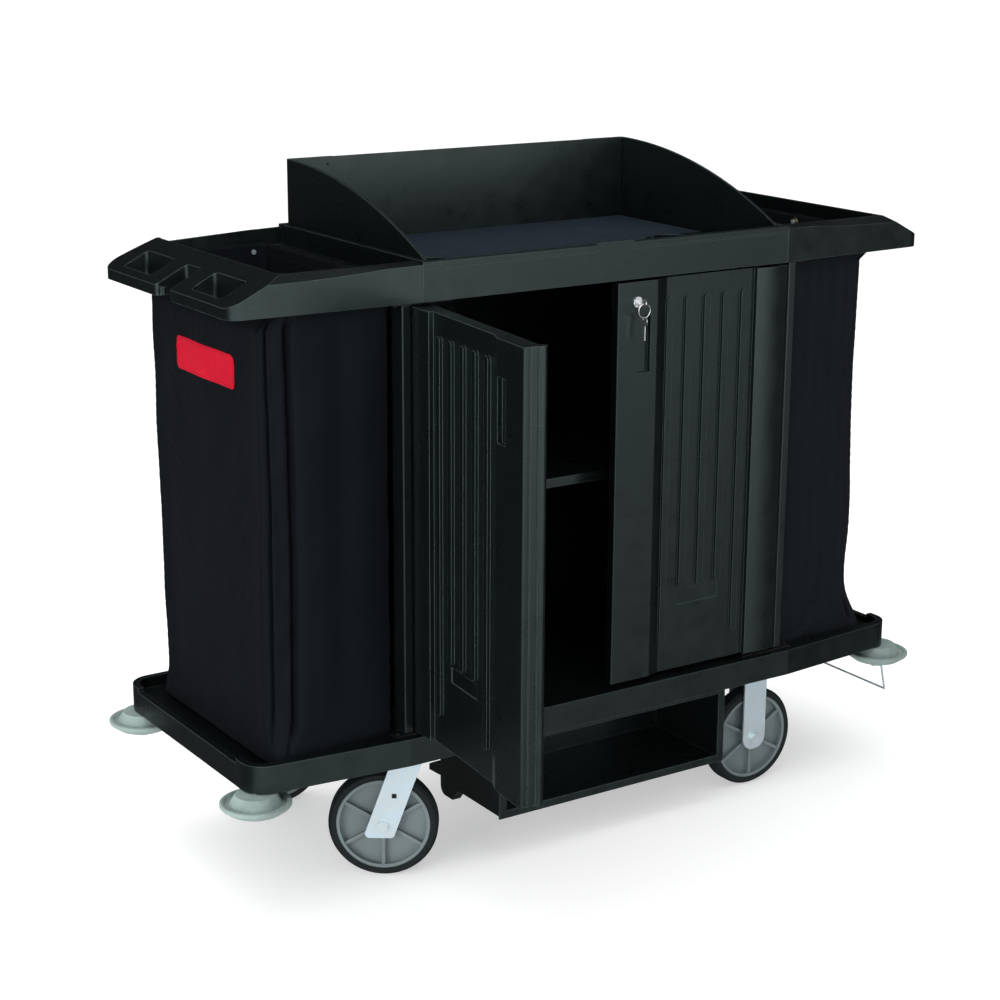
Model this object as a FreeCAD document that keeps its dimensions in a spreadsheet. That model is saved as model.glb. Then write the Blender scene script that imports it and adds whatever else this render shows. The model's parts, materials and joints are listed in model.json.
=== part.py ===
"""Housekeeping cart: deck on casters, two-door cabinet, tray with hood, bag rims and bags.

Row frame: origin on the floor under the middle of the cart, +X to the right along
the length, -Y to the front where the doors are, +Z up. Millimetres and degrees.
"""
import FreeCAD, Part
import math
import os
import re
import Sketcher
from FreeCAD import Vector

doc = FreeCAD.newDocument("housekeeping_cart")
sheet = doc.addObject("Spreadsheet::Sheet", "Sizes")

SIZES = {
    # heights
    "deck_bottom": 244, "deck_top": 295, "rim_bottom": 1079, "rim_top": 1146,
    "lip_top": 1149, "tray_floor": 1107, "hood_top": 1270, "shelf_top": 709,
    # plan of the deck
    "deck_half": 743, "deck_front": -283, "deck_end_front": -255, "deck_back": 276,
    "deck_bend": 441, "deck_corner": 45, "deck_wall": 12, "deck_skin": 8,
    "deck_well": 22, "deck_dip": 8,
    # plan of the rims and the tray
    "rim_half": 762, "rim_end_front": -258, "rim_front": -274, "rim_back": 250,
    "rim_bend": 406, "rim_corner": 28, "tray_half": 404, "tray_wall": 12,
    "tray_lip": 8, "handle_inner": 666, "slope_drop": 48, "crease_drop": 6,
    "crease_end_drop": 46, "opening_near": 441, "opening_far": 662,
    "opening_front": -243, "opening_back": 236, "opening_corner": 24,
    "cross_bar_top": 1112, "rim_middle": -4, "grip_near": 698, "grip_far": 746,
    "grip_from": 80, "grip_to": 196, "notch_half": 28, "notch_depth": 62,
    "cup_radius": 37, "cup_depth": 20, "cup_across": 270, "cup_forward": -92,
    "cup_ring": 5, "cup_ring_high": 7, "mat_half": 380, "mat_front": -262,
    "mat_back": 230, "mat_thick": 3, "tab_half": 40, "tab_rise": 2,
    "bead_deep": 1.5, "bead_drop": 8,
    # hood
    "hood_half": 391, "hood_wall": 5, "hood_seam": 293, "hood_back": 244,
    "wing_tip": -254, "wing_tip_top": 1149,
    # cabinet
    "cabinet_half": 439, "cabinet_front": -261, "cabinet_back": 245,
    "side_wall": 26, "panel_frame": 34, "pilaster": 19, "rebate": -214, "back_wall": 12,
    "shelf_thick": 18, "shelf_front": -204, "bracket_thick": 3,
    # doors
    "door_bottom": 305, "door_top": 1073, "door_face": -271, "door_back": -236, "lock_back": -221,
    "hinge_across": 403.5, "hinge_inset": 14.5, "left_free": 3, "right_free": 9,
    "door_panel": -262, "stile_width": 90, "bevel_width": 27, "strip_inner": 334,
    "strip_proud": 3, "bead_radius": 8, "bead_in": 37, "edge_groove": 3, "lip_thick": 17,
    "lip_rebate": 18, "lock_boss": 21, "lock_boss_high": 26, "door_frame": 22, "lock_frame": 92,
    "door_skin": 8, "lock_block": 860,
    "back_inset": 413, "rib_width": 14, "rib_proud": 6, "rib_pitch": 44,
    "rib_first": 307, "rib_top": 1036, "rib_long": 360, "rib_short": 469,
    "pin_radius": 5, "running_gap": 0.05, "pin_depth": 22, "open_angle": 95.7,
    "pull_near": 56, "pull_far": 84, "pull_top": 1011, "pull_bottom": 903,
    "pull_depth": 9, "badge_near": 170, "badge_far": 268, "badge_top": 462,
    "badge_bottom": 434, "badge_depth": 2,
    # lock and keys
    "lock_across": 52, "lock_height": 1036, "barrel_radius": 7.5,
    "collar_radius": 10, "collar_proud": 3, "cam_reach": 60, "cam_gap": 3,
    "cam_thick": 3, "tang_half": 4, "bow_radius": 9, "key_thick": 2, "bow_hole": 3,
    "ring_radius": 13, "ring_wire": 0.9,
    # bags
    "bag_end": 688, "bag_near": 444, "bag_front": -236, "bag_back": 228,
    "bag_bottom": 277, "bag_corner": 22, "bag_shoulder": 1074, "bag_top": 1122, "bag_neck_end": 656,
    "bag_skin": 2, "grommet_height": 1104, "grommet_radius": 10, "grommet_hole": 5,
    "grommet_from_near": 28, "hook_radius": 3.5,
    # under the deck
    "bin_left": -238, "bin_right": 288, "bin_front": -266, "bin_rear": -56,
    "bin_bottom": 90, "bin_wall": 4, "bin_flange": 12, "foot_low": 64,
    "foot_wide": 18, "foot_long": 80, "foot_turn": 18, "foot_hook": 42,
    "wheel_radius": 101.6, "tyre_thick": 15, "tyre_width": 36, "hub_length": 40,
    "hub_radius": 20, "axle_radius": 6, "caster_across": 399, "caster_forward": 212,
    "trail": 50, "fork_inner": 42, "fork_leg": 4, "fork_half": 28, "crown_top": 226,
    "crown_thick": 5, "plate_thick": 7, "plate_long": 104, "plate_wide": 92,
    "bolt_across": 40, "bolt_along": 34, "bolt_radius": 4, "raceway_radius": 27,
    "swivel_turn": 34.5, "spoke_thick": 6, "rim_ring": 6, "web_thick": 8,
    "bumper_across": 727, "bumper_forward": 236, "bumper_radius": 63.5,
    "bumper_bottom": 210, "bumper_top": 242, "bumper_foot": 48, "bumper_lip_low": 219,
    "bumper_lip_top": 228, "bumper_groove": 223, "bumper_hub": 36, "bumper_bolt": 194,
    "bolt_head": 8, "wire_radius": 2, "wire_reach": 758, "wire_low": 134,
}
for row, (alias, number) in enumerate(SIZES.items(), start=1):
    sheet.set(f"A{row}", alias)
    sheet.set(f"B{row}", str(number))
    sheet.setAlias(f"B{row}", alias)
doc.recompute()

nodes = []
EASE = 2          # small edge radius on moulded plastic
# near and far side, behind the face, of each groove in a door's free edge
EDGE_GROOVES = ((4, 12), (15, 28))


# ---------------------------------------------------------------- expressions
def linked(text):
    """An expression with every size name pointed at the sheet."""
    return re.sub(r"[a-z][a-z_]+", lambda word: "Sizes." + word.group()
                  if word.group() in SIZES else word.group(), str(text))


def value(text):
    return float(sheet.evalExpression(linked(text)))


def bind(thing, prop, text):
    thing.setExpression(prop, linked(text))


def place(thing, x, y, z, turn=None):
    """Put a finished object at (x, y, z), turned about the vertical."""
    if turn is not None:
        thing.Placement = FreeCAD.Placement(Vector(), FreeCAD.Rotation(Vector(0, 0, 1), 0))
        bind(thing, "Placement.Rotation.Angle", turn)
    for axis, text in zip("xyz", (x, y, z)):
        bind(thing, f"Placement.Base.{axis}", text)


def keep(thing, label):
    """Name a finished sub-part and list it for export."""
    thing.Label = label
    nodes.append(thing)
    return thing


# ---------------------------------------------------------------- Part helpers
def box(name, x, y, z):
    """A box from three (low, high) pairs of expressions."""
    thing = doc.addObject("Part::Box", name)
    for prop, (low, high) in zip(("Length", "Width", "Height"), (x, y, z)):
        bind(thing, prop, f"({high}) - ({low})")
    place(thing, x[0], y[0], z[0])
    return thing


def cylinder(name, radius, length, at, axis=(0, 0, 1)):
    thing = doc.addObject("Part::Cylinder", name)
    bind(thing, "Radius", radius)
    bind(thing, "Height", length)
    thing.Placement = FreeCAD.Placement(Vector(), FreeCAD.Rotation(Vector(0, 0, 1), Vector(*axis)))
    for letter, text in zip("xyz", at):
        bind(thing, f"Placement.Base.{letter}", text)
    return thing


def join(name, pieces):
    thing = doc.addObject("Part::MultiFuse", name)
    thing.Shapes = pieces
    return thing


def group(name, pieces):
    """Separate solids that share one node."""
    thing = doc.addObject("Part::Compound", name)
    thing.Links = pieces
    return thing


def carve(name, base, tool):
    thing = doc.addObject("Part::Cut", name)
    thing.Base = base
    thing.Tool = tool
    return thing


def mirrored(name, source, normal=(1, 0, 0)):
    thing = doc.addObject("Part::Mirroring", name)
    thing.Source = source
    thing.Base = Vector(0, 0, 0)
    thing.Normal = Vector(*normal)
    return thing


# ---------------------------------------------------------- PartDesign helpers
def new_body(name):
    return doc.addObject("PartDesign::Body", name)


def datum(body, role):
    return next(item for item in body.Origin.OriginFeatures if item.Role == role)


def sketch(body, name, plane="XY_Plane", offset="0"):
    drawing = body.newObject("Sketcher::SketchObject", name)
    drawing.AttachmentSupport = [(datum(body, plane), "")]
    drawing.MapMode = "FlatFace"
    bind(drawing, "AttachmentOffset.Base.z", offset)
    return drawing


def dimension(drawing, kind, *refs, text):
    index = drawing.addConstraint(Sketcher.Constraint(kind, *refs, value(text)))
    bind(drawing, f"Constraints[{index}]", text)


def outline(drawing, points):
    """A closed outline through (x, y) expressions; (x, y, radius) starts an arc to the next.

    A positive radius bows the arc out to the right of the direction of travel.
    """
    first = drawing.GeometryCount
    spots = [Vector(value(point[0]), value(point[1]), 0) for point in points]
    count = len(points)
    for index, point in enumerate(points):
        here = spots[index]
        there = spots[(index + 1) % count]
        if len(point) == 2:
            drawing.addGeometry(Part.LineSegment(here, there))
            continue
        radius = value(point[2])
        chord = there - here
        side = Vector(chord.y, -chord.x, 0).normalize() * math.copysign(1, radius)
        half = chord.Length / 2
        rise = abs(radius) - math.sqrt(max(radius * radius - half * half, 0))
        drawing.addGeometry(Part.Arc(here, (here + there) / 2 + side * rise, there))
    for index in range(count):
        following = first + (index + 1) % count
        corner = spots[(index + 1) % count]
        here = first + index
        drawing.addConstraint(Sketcher.Constraint("Coincident", here, end_of(drawing, here, corner),
                                                  following, end_of(drawing, following, corner)))
    for index, point in enumerate(points):
        spot = end_of(drawing, first + index, spots[index])
        dimension(drawing, "DistanceX", -1, 1, first + index, spot, text=point[0])
        dimension(drawing, "DistanceY", -1, 1, first + index, spot, text=point[1])
        if len(point) == 3:
            dimension(drawing, "Radius", first + index, text=f"abs({point[2]})")


def end_of(drawing, geometry, spot):
    """Which end of a line or arc lies at a spot: 1 for its start, 2 for its end."""
    start = drawing.getPoint(geometry, 1)
    finish = drawing.getPoint(geometry, 2)
    return 1 if (start - spot).Length < (finish - spot).Length else 2


def rectangle(drawing, x, y):
    outline(drawing, [(x[0], y[0]), (x[1], y[0]), (x[1], y[1]), (x[0], y[1])])


def rounded(drawing, x, y, radius):
    """A rectangle with round corners; x and y are (low, high) pairs."""
    (left, right), (low, high) = sorted(x, key=value), sorted(y, key=value)
    outline(drawing, [(f"{left} + {radius}", low), (f"{right} - {radius}", low, radius),
                      (right, f"{low} + {radius}"), (right, f"{high} - {radius}", radius),
                      (f"{right} - {radius}", high), (f"{left} + {radius}", high, radius),
                      (left, f"{high} - {radius}"), (left, f"{low} + {radius}", radius)])


def circle(drawing, x, y, radius):
    index = drawing.addGeometry(Part.Circle(Vector(value(x), value(y), 0), Vector(0, 0, 1), value(radius)))
    dimension(drawing, "DistanceX", -1, 1, index, 3, text=x)
    dimension(drawing, "DistanceY", -1, 1, index, 3, text=y)
    dimension(drawing, "Radius", index, text=radius)


def pad(body, drawing, length, both_ways=False):
    feature = body.newObject("PartDesign::Pad", drawing.Name + "_pad")
    feature.Profile = drawing
    bind(feature, "Length", length)
    feature.Midplane = both_ways
    return feature


def pocket(body, drawing, length, along=False):
    """Cut length deep against the sketch's normal, or along it."""
    doc.recompute()
    before = body.Tip.Shape.Volume
    feature = body.newObject("PartDesign::Pocket", drawing.Name + "_pocket")
    feature.Profile = drawing
    feature.Reversed = along
    bind(feature, "Length", length)
    doc.recompute()
    if feature.Shape.Volume > before - 1e-6:
        raise RuntimeError(f"{feature.Name} cuts nothing")
    return feature


def revolve(body, drawing):
    feature = body.newObject("PartDesign::Revolution", drawing.Name + "_turned")
    feature.Profile = drawing
    feature.ReferenceAxis = (drawing, ["V_Axis"])
    feature.Angle = 360
    return feature


def soften(body, radius, chosen):
    """Fillet the edges of the body's tip that a test picks out."""
    doc.recompute()
    tip = body.Tip
    names = [f"Edge{index}" for index, edge in enumerate(tip.Shape.Edges, start=1) if chosen(edge)]
    feature = body.newObject("PartDesign::Fillet", tip.Name + "_soft")
    feature.Base = (tip, names)
    bind(feature, "Radius", radius)
    doc.recompute()
    return feature


def upright(edge):
    ends = edge.Vertexes
    return len(ends) == 2 and abs(ends[0].X - ends[1].X) < 1e-4 and abs(ends[0].Y - ends[1].Y) < 1e-4


def upright_near(*places):
    """A test for upright edges at any of the given (x, y) places."""
    spots = [(value(x), value(y)) for x, y in places]

    def test(edge):
        if not upright(edge):
            return False
        point = edge.Vertexes[0].Point
        return any(abs(point.x - x) < 1 and abs(point.y - y) < 1 for x, y in spots)
    return test


def level_at(height):
    """A test for edges that lie wholly at one height."""
    level = value(height)
    return lambda edge: all(abs(vertex.Z - level) < 1e-3 for vertex in edge.Vertexes)


# ---------------------------------------------------------------------- bolts
def caster_places():
    for side in (-1, 1):
        for depth in (-1, 1):
            yield (f"{side} * caster_across", f"{depth} * caster_forward")


def bolt_places():
    for across, forward in caster_places():
        for along in (-1, 1):
            for aside in (-1, 1):
                yield (f"{across} + {along} * bolt_across", f"{forward} + {aside} * bolt_along")


def caster_bolts():
    """Sixteen bolts that hold the caster plates: head below the plate, shank up into the deck."""
    bolts = []
    for index, (x, y) in enumerate(bolt_places()):
        shank = cylinder(f"bolt_shank_{index}", "bolt_radius", "plate_thick + 12",
                         (x, y, "deck_bottom - plate_thick"))
        head = cylinder(f"bolt_head_{index}", "bolt_radius * 1.7", "5",
                        (x, y, "deck_bottom - plate_thick - 5"))
        bolts.append(join(f"bolt_{index}", [head, shank]))
    return keep(group("bolt_set", bolts), "caster_bolts")


def bumper_places():
    for side, hand in ((-1, "left"), (1, "right")):
        for depth, end in ((-1, "front"), (1, "rear")):
            yield f"{hand}_{end}", f"{side} * bumper_across", f"{depth} * bumper_forward"


def bumper_bolts():
    """A shouldered bolt through each bumper, up into the deck."""
    bolts = []
    for name, x, y in bumper_places():
        foot = (x, y, "bumper_bolt")
        shank = cylinder(f"{name}_shank", "axle_radius", "deck_bottom - bumper_bolt + 12", foot)
        head = cylinder(f"{name}_head", "axle_radius * 1.8", "bolt_head", foot)
        bolts.append(join(f"{name}_bolt", [shank, head]))
    return keep(group("bumper_bolt_set", bolts), "bumper_bolts")


def hinge_screw_places():
    for side in (-1, 1):
        for reach in (-60, 48):
            yield f"{side} * (hinge_across + {reach})"


def hinge_screws():
    """Pan-head screws that hold the hinge brackets to the deck and to the underside of the tray."""
    screws = []
    for index, x in enumerate(hinge_screw_places()):
        low = "deck_top + bracket_thick"
        high = "rim_bottom - bracket_thick"
        for name, start, head_start in (("low", f"{low} - 15", low), ("high", high, f"{high} - 3")):
            shank = cylinder(f"hinge_shank_{name}_{index}", 2, 15, (x, "door_face + hinge_inset", start))
            head = cylinder(f"hinge_head_{name}_{index}", 4.5, 3, (x, "door_face + hinge_inset", head_start))
            screws.append(join(f"hinge_screw_{name}_{index}", [shank, head]))
    return keep(group("hinge_screw_set", screws), "hinge_screws")


def bin_screw_places():
    for x in ("bin_left + bin_flange", "bin_right - bin_flange"):
        for share in (0.12, 0.5, 0.88):
            yield x, f"bin_front + (bin_rear - 30 - bin_front) * {share}"


def bin_screws():
    """Screws up through the bin's side flanges into the deck."""
    screws = []
    for index, (x, y) in enumerate(bin_screw_places()):
        outward = "- bin_flange * 2" if x.startswith("bin_left") else "+ bin_flange * 2"
        spot = f"{x} {outward}"
        shank = cylinder(f"bin_shank_{index}", 2.5, 15, (spot, y, "deck_bottom - bin_wall"))
        head = cylinder(f"bin_head_{index}", 5, 3, (spot, y, "deck_bottom - bin_wall - 3"))
        screws.append(join(f"bin_screw_{index}", [shank, head]))
    return keep(group("bin_screw_set", screws), "bin_screws")


def hood_screws():
    """Screws that clamp the hood's back panel and the wings' returns to each other."""
    screws = []
    for side in (-1, 1):
        for height in ("tray_floor + 60", "tray_floor + 105", "hood_top - 14"):
            index = len(screws)
            x = f"{side} * (hood_seam + 12)"
            shank = cylinder(f"hood_shank_{index}", 2, "hood_wall * 2 + 1",
                             (x, "hood_back - hood_wall * 2 - 1", height), (0, 1, 0))
            head = cylinder(f"hood_head_{index}", 4.5, 2.5, (x, "hood_back", height), (0, 1, 0))
            screws.append(join(f"hood_screw_{index}", [shank, head]))
    return keep(group("hood_screw_set", screws), "hood_screws")


# ----------------------------------------------------------------------- deck
def deck(fasteners):
    """Structural-foam base: wells for the bags at both ends, ribs and hollows underneath."""
    body = new_body("deck_body")
    plan = sketch(body, "deck_plan", offset="deck_bottom")
    outline(plan, [("-deck_half", "deck_end_front"), ("-deck_bend", "deck_front"),
                   ("deck_bend", "deck_front"), ("deck_half", "deck_end_front"),
                   ("deck_half", "deck_back"), ("-deck_half", "deck_back")])
    pad(body, plan, "deck_top - deck_bottom")
    soften(body, "deck_corner", upright_near(("deck_half", "deck_end_front"), ("deck_half", "deck_back"),
                                             ("-deck_half", "deck_end_front"), ("-deck_half", "deck_back")))
    wells = sketch(body, "deck_wells", offset="deck_top")
    dips = sketch(body, "deck_dips", offset="deck_top")
    hollows = sketch(body, "deck_hollows", offset="deck_bottom")
    cores = sketch(body, "deck_cores", offset="deck_bottom")
    for side in (-1, 1):
        rounded(wells, (f"{side} * (cabinet_half + 2)", f"{side} * (deck_half - deck_wall)"),
                ("deck_end_front + deck_wall", "deck_back - deck_wall"), "(deck_corner - deck_wall)")
        rectangle(dips, (f"{side} * (deck_half - deck_wall - 2)", f"{side} * (deck_half + 2)"),
                  ("deck_end_front + 60", "deck_back - 60"))
        halves = (("deck_end_front + deck_wall * 2", "-deck_skin"),
                  ("deck_skin", "deck_back - deck_wall * 2"))
        for low, high in halves:
            rectangle(hollows, (f"{side} * (caster_across + 72)", f"{side} * (deck_half - deck_wall * 4)"),
                      (low, high))
            rectangle(cores, (f"{side} * deck_skin", f"{side} * (caster_across - 166)"), (low, high))
        rectangle(cores, (f"{side} * (caster_across - 76)", f"{side} * (caster_across + 28)"),
                  ("-caster_forward + 62", "caster_forward - 62"))
    pocket(body, wells, "deck_well")
    pocket(body, dips, "deck_dip")
    pocket(body, hollows, "deck_top - deck_bottom - deck_well - deck_skin", along=True)
    pocket(body, cores, "deck_top - deck_bottom - deck_skin", along=True)
    blank = carve("deck_drilled", body, fasteners)
    return keep(blank, "deck")


# -------------------------------------------------------------------- cabinet
def side_panel():
    """Left side panel: a rebate behind the pilaster takes the closed door's edge."""
    body = new_body("side_panel_body")
    plan = sketch(body, "side_panel_plan", offset="deck_top")
    outline(plan, [("-cabinet_half", "cabinet_front"), ("-cabinet_half + pilaster", "cabinet_front"),
                   ("-cabinet_half + pilaster", "rebate"), ("-cabinet_half + side_wall", "rebate"),
                   ("-cabinet_half + side_wall", "cabinet_back"), ("-cabinet_half", "cabinet_back")])
    pad(body, plan, "rim_bottom - deck_top")
    for name, height, along in (("foot", "deck_top", True), ("head", "rim_bottom", False)):
        slot = sketch(body, f"side_panel_{name}", offset=height)
        rectangle(slot, ("-cabinet_half - 1", "-cabinet_half + side_wall + 1"),
                  ("cabinet_front - 1", "door_face + hinge_inset * 2 + 6"))
        pocket(body, slot, "bracket_thick + 1", along=along)
    core = sketch(body, "side_panel_core", "YZ_Plane", "-cabinet_half")
    for low, high in (("cabinet_front + panel_frame", "-panel_frame"), ("-14", "cabinet_back - panel_frame")):
        rectangle(core, (low, high), ("deck_top + panel_frame", "rim_bottom - panel_frame"))
    pocket(body, core, "side_wall - 9", along=True)
    soften(body, 3, upright_near(("-cabinet_half", "cabinet_front"),
                                 ("-cabinet_half + pilaster", "cabinet_front")))
    return keep(body, "left_side_panel"), keep(mirrored("side_panel_copy", body), "right_side_panel")


def cabinet_back():
    """Back panel with shallow pressed flutes on its outer face."""
    body = new_body("cabinet_back_body")
    plan = sketch(body, "cabinet_back_plan", offset="deck_top")
    edge = "(cabinet_half - side_wall)"
    rectangle(plan, (f"-{edge}", edge), ("cabinet_back - back_wall", "cabinet_back"))
    pad(body, plan, "rim_bottom - deck_top")
    flutes = sketch(body, "cabinet_back_flutes", "XZ_Plane", "-cabinet_back")
    for number in range(-3, 4):
        rectangle(flutes, (f"{number} * 100 - 12", f"{number} * 100 + 12"),
                  ("deck_top + 60", "rim_bottom - 60"))
    pocket(body, flutes, 3, along=True)
    return keep(body, "cabinet_back_panel")


def middle_shelf():
    """Loose shelf with a turned-down front edge, resting on four clips."""
    body = new_body("shelf_body")
    plan = sketch(body, "shelf_plan", offset="shelf_top - shelf_thick")
    edge = "(cabinet_half - side_wall - 1.5)"
    rectangle(plan, (f"-{edge}", edge), ("shelf_front", "cabinet_back - back_wall - 2"))
    pad(body, plan, "shelf_thick")
    hollow = sketch(body, "shelf_hollow", offset="shelf_top - shelf_thick")
    for number in range(-2, 3):
        rectangle(hollow, (f"{number} * 150 - 70", f"{number} * 150 + 70"),
                  ("shelf_front + 12", "cabinet_back - back_wall - 14"))
    pocket(body, hollow, "shelf_thick - 5", along=True)
    soften(body, EASE, lambda item: level_at("shelf_top")(item) and item.BoundBox.YLength < 1
           and item.CenterOfMass.y < 0)
    keep(body, "middle_shelf")
    clips = []
    for side in (-1, 1):
        for y in ("shelf_front + 30", "cabinet_back - 60"):
            near = f"{side} * (cabinet_half - side_wall)"
            far = f"{side} * (cabinet_half - side_wall - 9)"
            ends = (near, far) if side < 0 else (far, near)
            clips.append(box(f"shelf_clip_{len(clips)}", ends, (y, f"{y} + 20"),
                             ("shelf_top - shelf_thick - 12", "shelf_top - shelf_thick")))
    return keep(group("shelf_clip_set", clips), "shelf_clips")


# ------------------------------------------------------------ tray and rims
def top_tray(fasteners):
    """Tray across the cabinet: beaded front lip with a plain tab, ringed cup wells, hollow underneath."""
    body = new_body("tray_body")
    plan = sketch(body, "tray_plan", offset="rim_bottom")
    rectangle(plan, ("-tray_half", "tray_half"), ("rim_front", "rim_back"))
    pad(body, plan, "lip_top - rim_bottom")
    basin = sketch(body, "tray_basin", offset="lip_top")
    rectangle(basin, ("-tray_half + tray_wall", "tray_half - tray_wall"),
              ("rim_front + tray_lip", "rim_back - tray_wall / 2"))
    pocket(body, basin, "lip_top - tray_floor")
    rings = sketch(body, "tray_cup_rings", offset="tray_floor")
    wells = sketch(body, "tray_cups", offset="tray_floor + cup_ring_high")
    for side in (-1, 1):
        circle(rings, f"{side} * cup_across", "cup_forward", "cup_radius + cup_ring")
        circle(wells, f"{side} * cup_across", "cup_forward", "cup_radius")
    pad(body, rings, "cup_ring_high")
    pocket(body, wells, "cup_ring_high + cup_depth")
    grooves = sketch(body, "tray_bead", "XZ_Plane", "-rim_front")
    for side in (-1, 1):
        rectangle(grooves, (f"{side} * tab_half", f"{side} * (tray_half + 1)"),
                  ("rim_top - bead_drop - 3", "rim_top - bead_drop"))
    pocket(body, grooves, "bead_deep")
    hollow = sketch(body, "tray_hollow", offset="rim_bottom")
    for side in (-1, 1):
        rectangle(hollow, (f"{side} * 6", f"{side} * (cup_across - cup_radius - 20)"),
                  ("rim_front + 50", "rim_back - 30"))
        rectangle(hollow, (f"{side} * (cup_across - cup_radius)", f"{side} * (tray_half - 60)"),
                  ("cup_forward + cup_radius + 20", "rim_back - 30"))
    pocket(body, hollow, "tray_floor - rim_bottom - 6", along=True)
    soften(body, 3, lambda edge: edge.BoundBox.XLength > 100 and edge.CenterOfMass.y < value("rim_front + 1")
           and edge.CenterOfMass.z > value("lip_top - 1"))
    tab = sketch(body, "tray_tab", offset="lip_top - 4")
    rectangle(tab, ("-tab_half", "tab_half"), ("rim_front", "rim_front + tray_lip"))
    pad(body, tab, "tab_rise + 4")
    keep(carve("tray_drilled", body, fasteners), "top_tray")


def tray_mat():
    """Loose mat over the tray floor, cut away at the front corners round the cup wells."""
    body = new_body("mat_body")
    plan = sketch(body, "mat_plan", offset="tray_floor")
    rectangle(plan, ("-mat_half", "mat_half"), ("mat_front", "mat_back"))
    pad(body, plan, "mat_thick")
    corners = sketch(body, "mat_corners", offset="tray_floor + mat_thick")
    for side in (-1, 1):
        rounded(corners, (f"{side} * (cup_across - cup_radius - 16)", f"{side} * (mat_half + 60)"),
                ("mat_front - 60", "cup_forward + cup_radius + 16"), "50")
    pocket(body, corners, "mat_thick")
    return keep(body, "tray_mat")


def end_rim(fasteners):
    """Left bag rim: opening for the bag, tapering front rail, sloped handle with hand holds."""
    body = new_body("rim_body")
    plan = sketch(body, "rim_plan", offset="rim_bottom")
    outline(plan, [("-rim_half", "rim_end_front"), ("-rim_bend", "rim_front"), ("-tray_half", "rim_front"),
                   ("-tray_half", "rim_back"), ("-rim_half", "rim_back")])
    pad(body, plan, "rim_top - rim_bottom")
    soften(body, "rim_corner", upright_near(("-rim_half", "rim_end_front"), ("-rim_half", "rim_back")))
    slope = sketch(body, "rim_slope", "XZ_Plane", "-rim_back - 5")
    outline(slope, [("-handle_inner", "rim_top"), ("-rim_half - 10", "rim_top - slope_drop * 1.104"),
                    ("-rim_half - 10", "rim_top + 10"), ("-handle_inner", "rim_top + 10")])
    pocket(body, slope, "rim_back - rim_front + 20", along=True)
    for name, sign in (("front", 1), ("back", -1)):
        facing = "rim_front" if sign > 0 else "rim_back"
        near = f"{facing} + {sign} * 24"
        far = f"{facing} - {sign} * 6"
        sections = []
        for part, across, drop in (("end", "-rim_half - 8", "crease_end_drop"),
                                   ("start", "-tray_half - 70", "crease_drop"),
                                   ("tail", "-tray_half + 1", "crease_drop * 0.6")):
            section = sketch(body, f"rim_crease_{name}_{part}", "YZ_Plane", across)
            outline(section, [(near, "rim_top"), (far, f"rim_top - {drop}"), (far, "rim_top + 5"),
                              (near, "rim_top + 5")])
            sections.append(section)
        doc.recompute()
        cut = body.newObject("PartDesign::SubtractiveLoft", f"rim_crease_{name}")
        cut.Profile = sections[0]
        cut.Sections = sections[1:]
        cut.Ruled = True
        doc.recompute()
    opening = sketch(body, "rim_opening", offset="rim_top")
    rectangle(opening, ("-opening_far", "-opening_near"), ("opening_front", "opening_back"))
    pocket(body, opening, "rim_top - rim_bottom")
    bar = sketch(body, "rim_cross_bar", offset="rim_top")
    rectangle(bar, ("-opening_near - 1", "-tray_half + 1"), ("opening_front", "opening_back"))
    pocket(body, bar, "rim_top - cross_bar_top")
    soften(body, "opening_corner", upright_near(("-opening_far", "opening_front"),
                                                ("-opening_far", "opening_back")))
    holds = sketch(body, "rim_hand_holds", offset="rim_top")
    for sign in (-1, 1):
        rectangle(holds, ("-grip_far", "-grip_near"),
                  (f"rim_middle + {sign} * grip_from", f"rim_middle + {sign} * grip_to"))
    rectangle(holds, ("-rim_half - 1", "-rim_half + notch_depth"),
              ("rim_middle - notch_half", "rim_middle + notch_half"))
    pocket(body, holds, "rim_top - rim_bottom")
    soften(body, 8, lambda edge: upright(edge)
           and value("-rim_half - 1") < edge.Vertexes[0].X < value("-grip_near + 4")
           and abs(edge.Vertexes[0].Y - value("rim_middle")) < value("grip_to + 2"))
    left = carve("rim_drilled", body, fasteners)
    return keep(left, "left_end_rim"), keep(mirrored("rim_copy", left), "right_end_rim")


def tool_clips():
    """A sprung finger in each handle notch that holds a broom or a duster."""
    clips = []
    for side in (-1, 1):
        for sign in (-1, 1):
            edge = f"rim_middle + {sign} * notch_half"
            inner = f"rim_middle + {sign} * (notch_half - 8)"
            ys = (inner, edge) if sign > 0 else (edge, inner)
            near = f"{side} * (rim_half - 18)"
            far = f"{side} * (rim_half - 6)"
            xs = (far, near) if side < 0 else (near, far)
            block = box(f"clip_{len(clips)}", xs, ys, ("rim_bottom + 2", "rim_bottom + 16"))
            nose = cylinder(f"clip_nose_{len(clips)}", 4, 14,
                            (f"{side} * (rim_half - 12)", inner, "rim_bottom + 2"))
            clips.append(join(f"clip_set_{len(clips)}", [block, nose]))
    return keep(group("tool_clip_set", clips), "tool_clips")


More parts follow.
